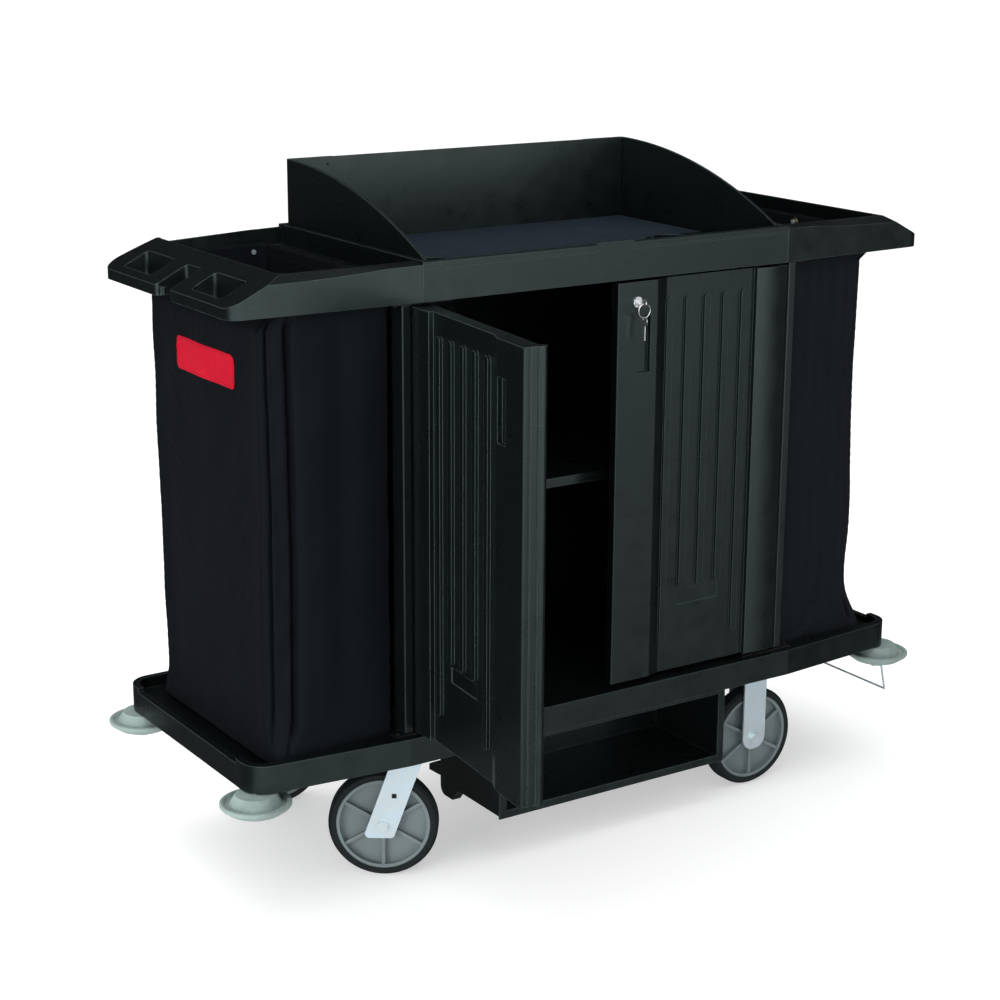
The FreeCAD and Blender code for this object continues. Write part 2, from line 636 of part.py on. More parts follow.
# ----------------------------------------------------------------------- hood
def hood(fasteners):
    """Back panel and two wings whose top edges fall in an arc to the tray's front lip."""
    panel = box("hood_panel", ("-hood_half + hood_wall + 1", "hood_half - hood_wall - 1"),
                ("hood_back - hood_wall * 2", "hood_back - hood_wall"), ("tray_floor", "hood_top"))
    keep(carve("hood_panel_drilled", panel, fasteners), "hood_back")
    body = new_body("wing_body")
    side = sketch(body, "wing_side", "YZ_Plane", "-hood_half")
    run = "(hood_back - wing_tip)"
    rise = "(hood_top - wing_tip_top)"
    outline(side, [("wing_tip", "tray_floor"), ("hood_back", "tray_floor"),
                   ("hood_back", "hood_top", f"({run}^2 + {rise}^2) / (2 * {rise})"),
                   ("wing_tip", "wing_tip_top")])
    pad(body, side, "hood_wall")
    back = sketch(body, "wing_return", "XZ_Plane", "-hood_back")
    rectangle(back, ("-hood_half", "-hood_seam"), ("tray_floor", "hood_top"))
    pad(body, back, "hood_wall")
    soften(body, 10, upright_near(("-hood_half", "hood_back")))
    wing = carve("wing_drilled", body, fasteners)
    return keep(wing, "hood_left_wing"), keep(mirrored("wing_copy", wing), "hood_right_wing")


# ----------------------------------------------------------------------- bags
def grommet_places():
    """Places of the left bag's grommets, each with the outward direction of its wall."""
    near = "-bag_near - grommet_from_near"
    far = "-bag_neck_end + grommet_from_near * 2"
    for x in (near, far):
        yield (x, "bag_back"), (0, 1, 0)
        yield (x, "bag_front"), (0, -1, 0)
    yield ("-bag_neck_end", "rim_middle"), (-1, 0, 0)


def bags():
    """Open-topped bag at each end: wide below the rim, a neck inside it, brass grommets."""
    body = new_body("bag_body")
    lower = sketch(body, "bag_lower", offset="bag_bottom")
    rectangle(lower, ("-bag_end", "-bag_near"), ("bag_front", "bag_back"))
    pad(body, lower, "bag_shoulder - bag_bottom")
    soften(body, "bag_corner", upright)
    neck = sketch(body, "bag_neck", offset="bag_shoulder")
    rectangle(neck, ("-bag_neck_end", "-bag_near"), ("bag_front", "bag_back"))
    pad(body, neck, "bag_top - bag_shoulder")
    for name, end, top, floor in (("room", "bag_end", "bag_shoulder - bag_skin", "bag_bottom + bag_skin"),
                                  ("mouth", "bag_neck_end", "bag_top", "bag_shoulder - bag_skin - 1")):
        inside = sketch(body, f"bag_{name}", offset=top)
        rectangle(inside, (f"-{end} + bag_skin", "-bag_near - bag_skin"),
                  ("bag_front + bag_skin", "bag_back - bag_skin"))
        pocket(body, inside, f"({top}) - ({floor})")
    soften(body, 20, lambda edge: upright(edge) and edge.Vertexes[0].X < value("-bag_neck_end + bag_skin + 2")
           and edge.Length < value("bag_top - bag_shoulder + bag_skin * 2"))
    rings = []
    pegs = []
    holes = []
    for index, ((x, y), out) in enumerate(grommet_places()):
        def start(distance):
            return (f"{x} + {out[0]} * ({distance})", f"{y} + {out[1]} * ({distance})", "grommet_height")

        tube = "grommet_hole + 1.5"
        holes.append(cylinder(f"grommet_bore_{index}", tube, "bag_skin + 2", start("-bag_skin - 1"), out))
        flange_in = cylinder(f"grommet_in_{index}", "grommet_radius", 1.5, start("-bag_skin - 1.5"), out)
        flange_out = cylinder(f"grommet_out_{index}", "grommet_radius", 1.5, start("0"), out)
        barrel = cylinder(f"grommet_barrel_{index}", tube, "bag_skin", start("-bag_skin"), out)
        blank = join(f"grommet_blank_{index}", [flange_in, barrel, flange_out])
        bore = cylinder(f"grommet_eye_{index}", "grommet_hole", "bag_skin + 8", start("-bag_skin - 4"), out)
        rings.append(carve(f"grommet_{index}", blank, bore))
        stem = cylinder(f"hook_stem_{index}", "hook_radius", "bag_skin + 11.9", start("-bag_skin - 6"), out)
        knob = cylinder(f"hook_knob_{index}", "hook_radius * 1.3", 3, start("-bag_skin - 6"), out)
        pegs.append(join(f"hook_{index}", [stem, knob]))
    left = carve("bag_punched", body, group("bag_holes", holes))
    keep(left, "left_bag")
    keep(mirrored("bag_copy", left), "right_bag")
    ring_set = group("ring_set", rings)
    keep(group("ring_sets", [ring_set, mirrored("ring_copy", ring_set)]), "bag_grommets")
    peg_set = group("peg_set", pegs)
    return keep(group("peg_sets", [peg_set, mirrored("peg_copy", peg_set)]), "bag_hooks")


# ---------------------------------------------------------------------- doors
def door_profile(free, sign):
    """Plan of a door: lock stile, bevel, panel, bowed hinge strip, round hinge edge."""
    face = "door_face"
    corners = [(free, "door_back"), (free, face), (f"{free} + stile_width", face),
               (f"{free} + stile_width + bevel_width", "door_panel"), ("strip_inner", "door_panel")]
    width = "(hinge_across - strip_inner)"
    strip = f"(({width} / 2)^2 + strip_proud^2) / (2 * strip_proud)"
    corners += [("strip_inner", face, strip if sign > 0 else f"-({strip})"),
                ("hinge_across", face, "hinge_inset" if sign > 0 else "-hinge_inset"),
                ("hinge_across + hinge_inset", "door_face + hinge_inset"),
                ("hinge_across + hinge_inset", "door_face + hinge_inset * 2"),
                ("back_inset", "door_face + hinge_inset * 2"), ("back_inset", "door_back")]
    if sign < 0:
        corners = [(f"-({corner[0]})",) + corner[1:] for corner in corners]
    return corners


def door(name, free, sign, with_lock):
    """A moulded door with ribs, a pull, a blank badge recess and a hollow back."""
    body = new_body(f"{name}_body")
    plan = sketch(body, f"{name}_plan", offset="door_bottom")
    outline(plan, door_profile(free, sign))
    pad(body, plan, "door_top - door_bottom")
    soften(body, EASE, upright_near((f"{sign} * ({free})", "door_face"),
                                    (f"{sign} * ({free} + stile_width)", "door_face")))
    ribs = sketch(body, f"{name}_ribs", "XZ_Plane", "-door_panel")
    for index in range(5):
        middle = f"{sign} * (rib_first - {index} * rib_pitch)"
        low = "rib_long" if index in (0, 4) else "rib_short"
        half = "rib_width / 2"
        outline(ribs, [(f"{middle} - {half}", f"{low} + {half}", half), (middle, low, half),
                       (f"{middle} + {half}", f"{low} + {half}"),
                       (f"{middle} + {half}", f"rib_top - {half}", half), (middle, "rib_top", half),
                       (f"{middle} - {half}", f"rib_top - {half}")])
    pad(body, ribs, "rib_proud")
    back = sketch(body, f"{name}_hollow", "XZ_Plane", "-door_back")
    rectangle(back, (f"{sign} * ({free} + lock_frame)", f"{sign} * (back_inset - door_frame * 1.5)"),
              ("door_bottom + door_frame * 1.5", "door_top - door_frame * 1.5"))
    rectangle(back, (f"{sign} * ({free} + door_frame)", f"{sign} * ({free} + lock_frame - door_frame / 2)"),
              ("door_bottom + door_frame * 1.5", "lock_block"))
    pocket(body, back, "door_back - door_panel - door_skin", along=True)
    pulls = sketch(body, f"{name}_pull", "XZ_Plane", "-door_face")
    rectangle(pulls, (f"{sign} * pull_near", f"{sign} * pull_far"), ("pull_bottom", "pull_top"))
    pocket(body, pulls, "pull_depth")
    badge = sketch(body, f"{name}_badge", "XZ_Plane", "-door_panel")
    rectangle(badge, (f"{sign} * badge_near", f"{sign} * badge_far"), ("badge_bottom", "badge_top"))
    pocket(body, badge, "badge_depth")
    for end, height, along in (("foot", "door_bottom", True), ("head", "door_top", False)):
        hole = sketch(body, f"{name}_{end}_hole", offset=height)
        circle(hole, f"{sign} * hinge_across", "door_face + hinge_inset", "pin_radius + running_gap")
        pocket(body, hole, "pin_depth", along=along)
    if with_lock:
        rebate = sketch(body, f"{name}_rebate", offset="door_top")
        rectangle(rebate, (free, f"{free} + lip_rebate"), ("door_face + lip_thick", "door_back"))
        pocket(body, rebate, "door_top - door_bottom")
        boss = sketch(body, f"{name}_lock_boss", "XZ_Plane", "-lock_back")
        rectangle(boss, ("lock_across - lock_boss", "lock_across + lock_boss"),
                  ("lock_height - lock_boss_high", "lock_height + lock_boss_high"))
        pad(body, boss, "lock_back - door_back")
        bore = sketch(body, f"{name}_lock_bore", "XZ_Plane", "-door_face")
        circle(bore, "lock_across", "lock_height", "barrel_radius + 2")
        pocket(body, bore, "lock_back - door_face")
    else:
        grooves = sketch(body, f"{name}_edge_grooves", offset="door_top")
        for near, far in EDGE_GROOVES:
            rectangle(grooves, (f"{sign} * ({free})", f"{sign} * ({free} + edge_groove)"),
                      (f"door_face + {near}", f"door_face + {far}"))
        pocket(body, grooves, "door_top - door_bottom")
        bead = sketch(body, f"{name}_edge_bead", offset="door_bottom - 3")
        circle(bead, f"{sign} * ({free} + bead_radius - 1)", "door_face + bead_in", "bead_radius")
        pad(body, bead, "door_top - door_bottom + 3")
    return body


def doors():
    left = door("left_door", "(-left_free)", -1, False)
    left_open = group("left_door_open", [left])
    # the open door turns about its hinge pin: base = pin - turned pin
    pin_y = "(door_face + hinge_inset)"
    place(left_open, f"-hinge_across + hinge_across * cos(open_angle) - {pin_y} * sin(open_angle)",
          f"{pin_y} - hinge_across * sin(open_angle) - {pin_y} * cos(open_angle)", "0", "-open_angle")
    keep(left_open, "left_door")
    keep(door("right_door", "right_free", 1, True), "right_door")


def hinge_hardware():
    """Flat brackets on the deck and under the tray, each with a pin for a door."""
    plates = []
    pins = []
    for side, hand in ((-1, "left"), (1, "right")):
        ends = [f"{side} * (hinge_across - 68)", f"{side} * (hinge_across + 56)"]
        xs = tuple(ends if side > 0 else reversed(ends))
        middle = "door_face + hinge_inset"
        for level, low in (("low", "deck_top"), ("high", "rim_bottom - bracket_thick")):
            plates.append(box(f"{hand}_{level}_plate", xs, (f"{middle} - 10", f"{middle} + 10"),
                              (low, f"{low} + bracket_thick")))
        at = (f"{side} * hinge_across", middle)
        low_start = "deck_top + bracket_thick"
        low_length = "door_bottom + pin_depth - 2 - deck_top - bracket_thick"
        high_start = "door_top - pin_depth + 2"
        high_length = "rim_bottom - bracket_thick - door_top + pin_depth - 2"
        pins.append(cylinder(f"{hand}_low_pin", "pin_radius", low_length, at + (low_start,)))
        pins.append(cylinder(f"{hand}_high_pin", "pin_radius", high_length, at + (high_start,)))
    screws = doc.getObject("hinge_screw_set")
    keep(carve("plates_drilled", group("plate_set", plates), screws), "hinge_brackets")
    return keep(group("pin_set", pins), "hinge_pins")


def around(middle, half):
    """Low and high limits at a distance either side of a middle."""
    return f"{middle} - ({half})", f"{middle} + ({half})"


def lock_and_keys():
    """Cam lock in the right door, its key, and a ring with a spare key."""
    out = (0, -1, 0)
    face = ("lock_across", "door_face", "lock_height")
    inner = ("lock_across", "lock_back", "lock_height")
    collar = cylinder("lock_collar", "collar_radius", "collar_proud", face, out)
    sleeve = cylinder("lock_sleeve", "barrel_radius + 2", "lock_back - door_face", inner, out)
    bore = cylinder("lock_bore", "barrel_radius + running_gap", "lock_back - door_face + collar_proud + 2",
                    ("lock_across", "lock_back + 1", "lock_height"), out)
    keep(carve("lock_shell", join("lock_shell_blank", [collar, sleeve]), bore), "lock_housing")
    cam_near, cam_far = "lock_back + cam_gap", "lock_back + cam_gap + cam_thick"
    plug = cylinder("lock_plug", "barrel_radius", f"{cam_far} - door_face + collar_proud",
                    ("lock_across", cam_far, "lock_height"), out)
    slot = box("lock_keyway", around("lock_across", "key_thick / 2 + 0.1"),
               ("door_face - collar_proud - 1", "door_face + 22"), around("lock_height", 4))
    tang_space = box("lock_tang_space", around("lock_across", 10), (cam_near, f"{cam_far} + 1"),
                     around("lock_height", 10))
    tang = box("lock_tang", around("lock_across", "tang_half"), (f"{cam_near} - 1", f"{cam_far} + 2"),
               around("lock_height", "tang_half"))
    plug = carve("lock_plug_slotted", plug, slot)
    keep(carve("lock_plug_tanged", plug, carve("lock_tang_ring", tang_space, tang)), "lock_barrel")
    arm = box("cam_arm", around("lock_across", 8), (cam_near, cam_far),
              ("lock_height - cam_reach", "lock_height + 9"))
    hole = box("cam_hole", around("lock_across", "tang_half"), ("lock_back", f"{cam_far} + 2"),
               around("lock_height", "tang_half"))
    keep(carve("cam_plate", arm, hole), "lock_cam")
    keep(key(), "key")
    keep(hanging_keys(), "key_ring")


def key():
    """A flat key in an upright plane: blade in the keyway, shank, round bow with a hole."""
    body = new_body("key_body")
    side = sketch(body, "key_side", "YZ_Plane", "lock_across")
    rectangle(side, ("door_face - collar_proud - 12", "door_face + 20"), around("lock_height", 3.4))
    pad(body, side, "key_thick", both_ways=True)
    bow = sketch(body, "key_bow", "YZ_Plane", "lock_across")
    circle(bow, "door_face - collar_proud - 16", "lock_height", "bow_radius")
    pad(body, bow, "key_thick", both_ways=True)
    eye = sketch(body, "key_eye", "YZ_Plane", "lock_across + 5")
    circle(eye, "door_face - collar_proud - 19", "lock_height", "bow_hole")
    pocket(body, eye, 10)
    return body


def hanging_keys():
    """A wire ring through the key's bow and the spare key that hangs from it, facing front."""
    eye = Vector(value("lock_across"), value("door_face - collar_proud - 19"), value("lock_height"))
    ring_radius = value("ring_radius")
    wire = value("ring_wire")
    centre = eye - Vector(0, 0, ring_radius)
    ring = Part.makeTorus(ring_radius, wire, centre, Vector(0, 1, 0))
    thick = value("key_thick")
    bow_radius = value("bow_radius")
    hole = value("bow_hole")
    lowest = centre - Vector(0, 0, ring_radius)
    eyelet_middle = lowest - Vector(0, 0, hole - wire - 0.2)
    bow_middle = eyelet_middle - Vector(0, 0, bow_radius * 0.45)
    bow = Part.makeCylinder(bow_radius, thick, bow_middle - Vector(thick / 2, 0, 0), Vector(1, 0, 0))
    blade = Part.makeBox(thick, 7, 34, bow_middle - Vector(thick / 2, 3.5, 36))
    eyelet = Part.makeCylinder(hole, thick * 3, eyelet_middle - Vector(thick * 1.5, 0, 0), Vector(1, 0, 0))
    spare = bow.fuse(blade).cut(eyelet).removeSplitter()
    thing = doc.addObject("Part::Feature", "hanging_keys")
    thing.Shape = Part.makeCompound([ring, spare])
    return thing


# ----------------------------------------------------------------- underneath
def under_bin(fasteners):
    """Open-fronted storage bin hung under the deck by side flanges."""
    body = new_body("bin_body")
    plan = sketch(body, "bin_plan", offset="bin_bottom")
    rectangle(plan, ("bin_left", "bin_right"), ("bin_front", "bin_rear"))
    pad(body, plan, "deck_bottom - bin_bottom")
    flange = sketch(body, "bin_flange_plan", offset="deck_bottom - bin_wall")
    rectangle(flange, ("bin_left - bin_flange * 1.6", "bin_right + bin_flange * 1.6"),
              ("bin_front + 6", "bin_rear - 30"))
    pad(body, flange, "bin_wall")
    for name, start in (("left", "bin_left"), ("right", "bin_right - foot_wide")):
        foot = sketch(body, f"bin_{name}_foot", "YZ_Plane", start)
        heel, toe = "bin_rear - foot_long", "bin_rear + foot_hook"
        outline(foot, [(heel, "bin_bottom + 10"), (f"{heel} + foot_long * 0.2", "bin_bottom - 2"),
                       (f"{heel} + foot_long * 0.45", "foot_low"),
                       ("bin_rear - foot_turn", "foot_low", "foot_turn"),
                       ("bin_rear", "foot_low + foot_turn"), ("bin_rear", "bin_bottom + 10"),
                       (toe, "bin_bottom + 8"), (toe, "bin_bottom + 20"),
                       (f"{toe} - foot_turn", "bin_bottom + 30"), ("bin_rear - 10", "bin_bottom + 34")])
        pad(body, foot, "foot_wide")
    room = sketch(body, "bin_room", "XZ_Plane", "-bin_front")
    rectangle(room, ("bin_left + bin_wall", "bin_right - bin_wall"),
              ("bin_bottom + bin_wall", "deck_bottom - bin_wall"))
    pocket(body, room, "bin_rear - bin_front - bin_wall")
    frame = sketch(body, "bin_front_frame", "XZ_Plane", "-bin_front")
    rectangle(frame, ("bin_left - 3", "bin_right + 3"), ("bin_bottom - 3", "deck_bottom"))
    rectangle(frame, ("bin_left + bin_flange", "bin_right - bin_flange"),
              ("bin_bottom + bin_flange", "deck_bottom - bin_flange"))
    pad(body, frame, "bin_wall")
    return keep(carve("bin_drilled", body, fasteners), "under_deck_bin")


def bumper():
    """Corner bumper roller: a dish with a raised outer lip, tapered underneath, round a conical hub."""
    body = new_body("bumper_body")
    half = sketch(body, "bumper_half", "XZ_Plane")
    bore = "axle_radius + running_gap"
    outline(half, [(bore, "bumper_bottom"), ("bumper_foot", "bumper_bottom"),
                   ("bumper_radius - 3", "bumper_lip_low", "6"), ("bumper_radius", "bumper_lip_low + 4"),
                   ("bumper_radius", "bumper_lip_top - 3", "3"), ("bumper_radius - 3", "bumper_lip_top"),
                   ("bumper_radius - 6", "bumper_lip_top"), ("bumper_radius - 11", "bumper_groove"),
                   ("bumper_hub * 1.3", "bumper_groove"), ("bumper_hub", "bumper_top"), (bore, "bumper_top")])
    revolve(body, half)
    for name, x, y in bumper_places():
        copy = doc.addObject("Part::Compound", f"{name}_copy")
        copy.Links = [body]
        place(copy, x, y, "0")
        keep(copy, f"{name}_bumper")


def wheel_and_tyre(name, placer):
    """Moulded wheel with six ribs each side of its web, and a grey tyre, axle along local Y."""
    body = new_body(f"{name}_wheel_body")
    half = sketch(body, f"{name}_wheel_half")
    inner = "wheel_radius - tyre_thick"
    outline(half, [("axle_radius + running_gap", "-hub_length / 2"), ("hub_radius", "-hub_length / 2"),
                   ("hub_radius", "-web_thick / 2"), (f"{inner} - rim_ring", "-web_thick / 2"),
                   (f"{inner} - rim_ring", "-tyre_width / 2 + 1"), (inner, "-tyre_width / 2 + 1"),
                   (inner, "tyre_width / 2 - 1"), (f"{inner} - rim_ring", "tyre_width / 2 - 1"),
                   (f"{inner} - rim_ring", "web_thick / 2"), ("hub_radius", "web_thick / 2"),
                   ("hub_radius", "hub_length / 2"), ("axle_radius + running_gap", "hub_length / 2")])
    revolve(body, half)
    spoke = sketch(body, f"{name}_spoke", "XZ_Plane")
    rectangle(spoke, ("-spoke_thick / 2", "spoke_thick / 2"), ("hub_radius - 2", f"{inner} - rim_ring / 2"))
    rib = pad(body, spoke, "tyre_width - 8", both_ways=True)
    doc.recompute()
    spokes = body.newObject("PartDesign::PolarPattern", f"{name}_spokes")
    spokes.Originals = [rib]
    spokes.Axis = (datum(body, "Y_Axis"), [""])
    spokes.Angle = 360
    spokes.Occurrences = 6
    body.Tip = spokes
    placer(body)
    keep(body, f"{name}_wheel")
    tyre = new_body(f"{name}_tyre_body")
    tread = sketch(tyre, f"{name}_tread")
    outline(tread, [(inner, "-tyre_width / 2"), ("wheel_radius - 5", "-tyre_width / 2"),
                    ("wheel_radius", "-tyre_width / 2 + 7"), ("wheel_radius", "tyre_width / 2 - 7"),
                    ("wheel_radius - 5", "tyre_width / 2"), (inner, "tyre_width / 2")])
    revolve(tyre, tread)
    placer(tyre)
    keep(tyre, f"{name}_tyre")


def axle(name, placer):
    """Axle bolt with a round head and a hexagonal nut, along local Y."""
    body = new_body(f"{name}_axle_body")
    half = sketch(body, f"{name}_axle_half")
    reach = "(fork_inner / 2 + fork_leg)"
    outline(half, [("0", f"-{reach} - 6"), ("axle_radius * 1.7", f"-{reach} - 6"),
                   ("axle_radius * 1.7", f"-{reach}"), ("axle_radius", f"-{reach}"),
                   ("axle_radius", f"{reach} + 8"), ("0", f"{reach} + 8")])
    revolve(body, half)
    nut = sketch(body, f"{name}_nut", "XZ_Plane", f"-{reach}")
    size = "axle_radius * 1.75"
    outline(nut, [(f"{size} * cos({turn})", f"{size} * sin({turn})") for turn in range(0, 360, 60)])
    feature = pad(body, nut, 6)
    feature.Reversed = True
    placer(body)
    keep(body, f"{name}_axle")


def caster(name, x, y, trail, turn):
    """One caster at (x, y); trail is zero on a rigid one. Local +X leads, the wheel trails at -X."""
    def at_top(thing):
        place(thing, x, y, "0", turn)

    def at_axle(thing):
        place(thing, f"{x} - {trail} * cos({turn})", f"{y} - {trail} * sin({turn})", "wheel_radius", turn)

    wheel_and_tyre(name, at_axle)
    axle(name, at_axle)
    body = new_body(f"{name}_fork_body")
    legs = sketch(body, f"{name}_legs", "XZ_Plane")
    top = "crown_top" if trail != "0" else "deck_bottom - plate_thick"
    lean = f"({trail} * 46 / 50 / 130)"
    foot = "wheel_radius - 24"
    low = f"-{trail} - {lean} * 24"
    high = f"-{trail} + {lean} * ({top} - wheel_radius)"
    outline(legs, [(f"{low} - fork_half", foot), (f"{low} + fork_half", foot),
                   (f"{high} + fork_half", top), (f"{high} - fork_half", top)])
    pad(body, legs, "fork_inner + fork_leg * 2", both_ways=True)
    gap = sketch(body, f"{name}_gap", "YZ_Plane", "150")
    rectangle(gap, ("-fork_inner / 2", "fork_inner / 2"), ("0", f"{top} - crown_thick"))
    pocket(body, gap, 400)
    soften(body, "fork_half * 0.9" if trail == "0" else 8,
           lambda edge: edge.BoundBox.YLength < value("fork_leg + 1") and edge.BoundBox.YLength > 1
           and edge.BoundBox.ZMax < value("wheel_radius - 20"))
    eye = sketch(body, f"{name}_eye", "XZ_Plane", "50")
    circle(eye, f"-{trail}", "wheel_radius", "axle_radius")
    pocket(body, eye, 100)
    if trail == "0":
        plate = sketch(body, f"{name}_plate", offset="deck_bottom - plate_thick")
        rectangle(plate, ("-plate_long / 2", "plate_long / 2"), ("-plate_wide / 2", "plate_wide / 2"))
        pad(body, plate, "plate_thick")
        at_top(body)
        keep(carve(f"{name}_fork_drilled", body, doc.getObject("bolt_set")), f"{name}_fork")
        return
    slot = sketch(body, f"{name}_brake_slot", "XZ_Plane", "50")
    middle = f"(-{trail} + {lean} * 60)"
    rectangle(slot, (f"{middle} - 4.5", f"{middle} + 4.5"), ("wheel_radius + 55", "wheel_radius + 64"))
    pocket(body, slot, 100)
    pin_hole = sketch(body, f"{name}_pin_hole", offset=top)
    circle(pin_hole, "0", "0", "axle_radius + running_gap")
    pocket(body, pin_hole, "crown_thick + 1")
    at_top(body)
    keep(body, f"{name}_fork")
    swivel_top(name, x, y)


def swivel_top(name, x, y):
    """Fixed half of a swivel caster: top plate with its raceway boss, and the kingpin."""
    plate = box(f"{name}_plate_blank", (f"{x} - plate_long / 2", f"{x} + plate_long / 2"),
                (f"{y} - plate_wide / 2", f"{y} + plate_wide / 2"),
                ("deck_bottom - plate_thick", "deck_bottom"))
    boss = cylinder(f"{name}_boss", "raceway_radius", "deck_bottom - plate_thick - crown_top - 1",
                    (x, y, "crown_top + 1"))
    bore = cylinder(f"{name}_plate_bore", "axle_radius", 40, (x, y, "crown_top - 5"))
    drilled = carve(f"{name}_plate_bored", join(f"{name}_plate_joined", [plate, boss]), bore)
    keep(carve(f"{name}_plate_drilled", drilled, doc.getObject("bolt_set")), f"{name}_plate")
    shank = cylinder(f"{name}_pin_shank", "axle_radius", "deck_bottom - crown_top + crown_thick + 4",
                     (x, y, "crown_top - crown_thick - 4"))
    head = cylinder(f"{name}_pin_head", "axle_radius * 1.7", 4, (x, y, "crown_top - crown_thick - 4.5"))
    keep(join(f"{name}_kingpin_joined", [shank, head]), f"{name}_kingpin")


def wire_hanger():
    """Bent wire at the right end, hung from both bumper bolts, for a hose or a cord."""
    wire = value("wire_radius")
    eye_radius = value("axle_radius") + wire + 0.3
    level = value("bumper_bolt + bolt_head") + wire + 0.4
    across = value("bumper_across")
    forward = value("bumper_forward")
    path = []
    for side in (-1, 1):
        near = Vector(across + eye_radius, side * forward, level)
        low = Vector(value("wire_reach"), side * (forward - 3), value("wire_low"))
        leg = [near, near + Vector(4, 0, 0), low]
        path += leg[::-side]
    edges = [Part.LineSegment(start, end).toShape() for start, end in zip(path, path[1:])]
    section = Part.Wire([Part.Circle(path[0], Vector(1, 0, 0), wire).toShape()])
    rod = Part.Wire(edges).makePipeShell([section], True, True, 1)
    eyes = [Part.makeTorus(eye_radius, wire, Vector(across, side * forward, level), Vector(0, 0, 1))
            for side in (-1, 1)]
    thing = doc.addObject("Part::Feature", "wire_hanger")
    thing.Shape = rod.fuse(eyes).removeSplitter()
    return keep(thing, "wire_hanger")


def build():
    bolts = caster_bolts()
    pivots = bumper_bolts()
    hinges = hinge_screws()
    bin_set = bin_screws()
    hood_set = hood_screws()
    deck(group("deck_fasteners", [bolts, pivots, hinges, bin_set]))
    side_panel()
    cabinet_back()
    middle_shelf()
    top_tray(hinges)
    tray_mat()
    end_rim(hinges)
    tool_clips()
    hood(hood_set)
    bags()
    doors()
    hinge_hardware()
    lock_and_keys()
    under_bin(bin_set)
    bumper()
    wire_hanger()
    caster("swivel_front", "-caster_across", "-caster_forward", "trail", "-swivel_turn")
    caster("swivel_rear", "-caster_across", "caster_forward", "trail", "0")
    caster("rigid_front", "caster_across", "-caster_forward", "0", "0")
    caster("rigid_rear", "caster_across", "caster_forward", "0", "0")
    doc.recompute()


def check():
    for item in doc.Objects:
        if "Invalid" in item.State or "Error" in item.State:
            raise RuntimeError(f"{item.Name} failed: {item.State}")
    for item in nodes:
        if item.Shape.isNull() or not item.Shape.isValid() or not item.Shape.Solids:
            raise RuntimeError(f"{item.Label} has no valid solid")


build()
check()
# the row's origin is on the floor under the middle of the whole cart, open door included
extents = [item.Shape.optimalBoundingBox() for item in nodes]
middle = (min(extent.YMin for extent in extents) + max(extent.YMax for extent in extents)) / 2
os.makedirs("parts", exist_ok=True)
for item in nodes:
    shape = item.Shape.copy()
    shape.translate(Vector(0, -middle, 0))
    shape.exportStep(f"parts/{item.Label}.step")
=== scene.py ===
"""Looks of the housekeeping cart: materials, pleated fabric bags, a sewn patch, light and camera."""

import json
import math

import bmesh
import bpy
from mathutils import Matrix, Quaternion, Vector, noise
from mathutils.bvhtree import BVHTree


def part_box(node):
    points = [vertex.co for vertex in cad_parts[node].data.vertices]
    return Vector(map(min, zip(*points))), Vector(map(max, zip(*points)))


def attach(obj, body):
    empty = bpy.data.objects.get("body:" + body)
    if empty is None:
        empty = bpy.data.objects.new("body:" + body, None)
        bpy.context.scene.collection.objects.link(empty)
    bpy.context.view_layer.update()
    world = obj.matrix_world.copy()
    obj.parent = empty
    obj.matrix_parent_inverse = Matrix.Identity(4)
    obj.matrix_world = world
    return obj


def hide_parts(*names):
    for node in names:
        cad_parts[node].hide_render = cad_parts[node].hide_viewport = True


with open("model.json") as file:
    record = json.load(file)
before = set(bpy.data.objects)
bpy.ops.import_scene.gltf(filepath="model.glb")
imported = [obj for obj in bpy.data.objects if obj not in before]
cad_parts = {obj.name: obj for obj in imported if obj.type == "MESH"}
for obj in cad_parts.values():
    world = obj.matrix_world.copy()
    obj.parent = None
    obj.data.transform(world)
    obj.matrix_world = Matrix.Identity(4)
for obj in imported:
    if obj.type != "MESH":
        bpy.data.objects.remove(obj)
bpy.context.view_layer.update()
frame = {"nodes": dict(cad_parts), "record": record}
nodes = frame["nodes"]

MM = 0.001
BLOTCH = 0.12      # how far zinc plate's roughness wanders


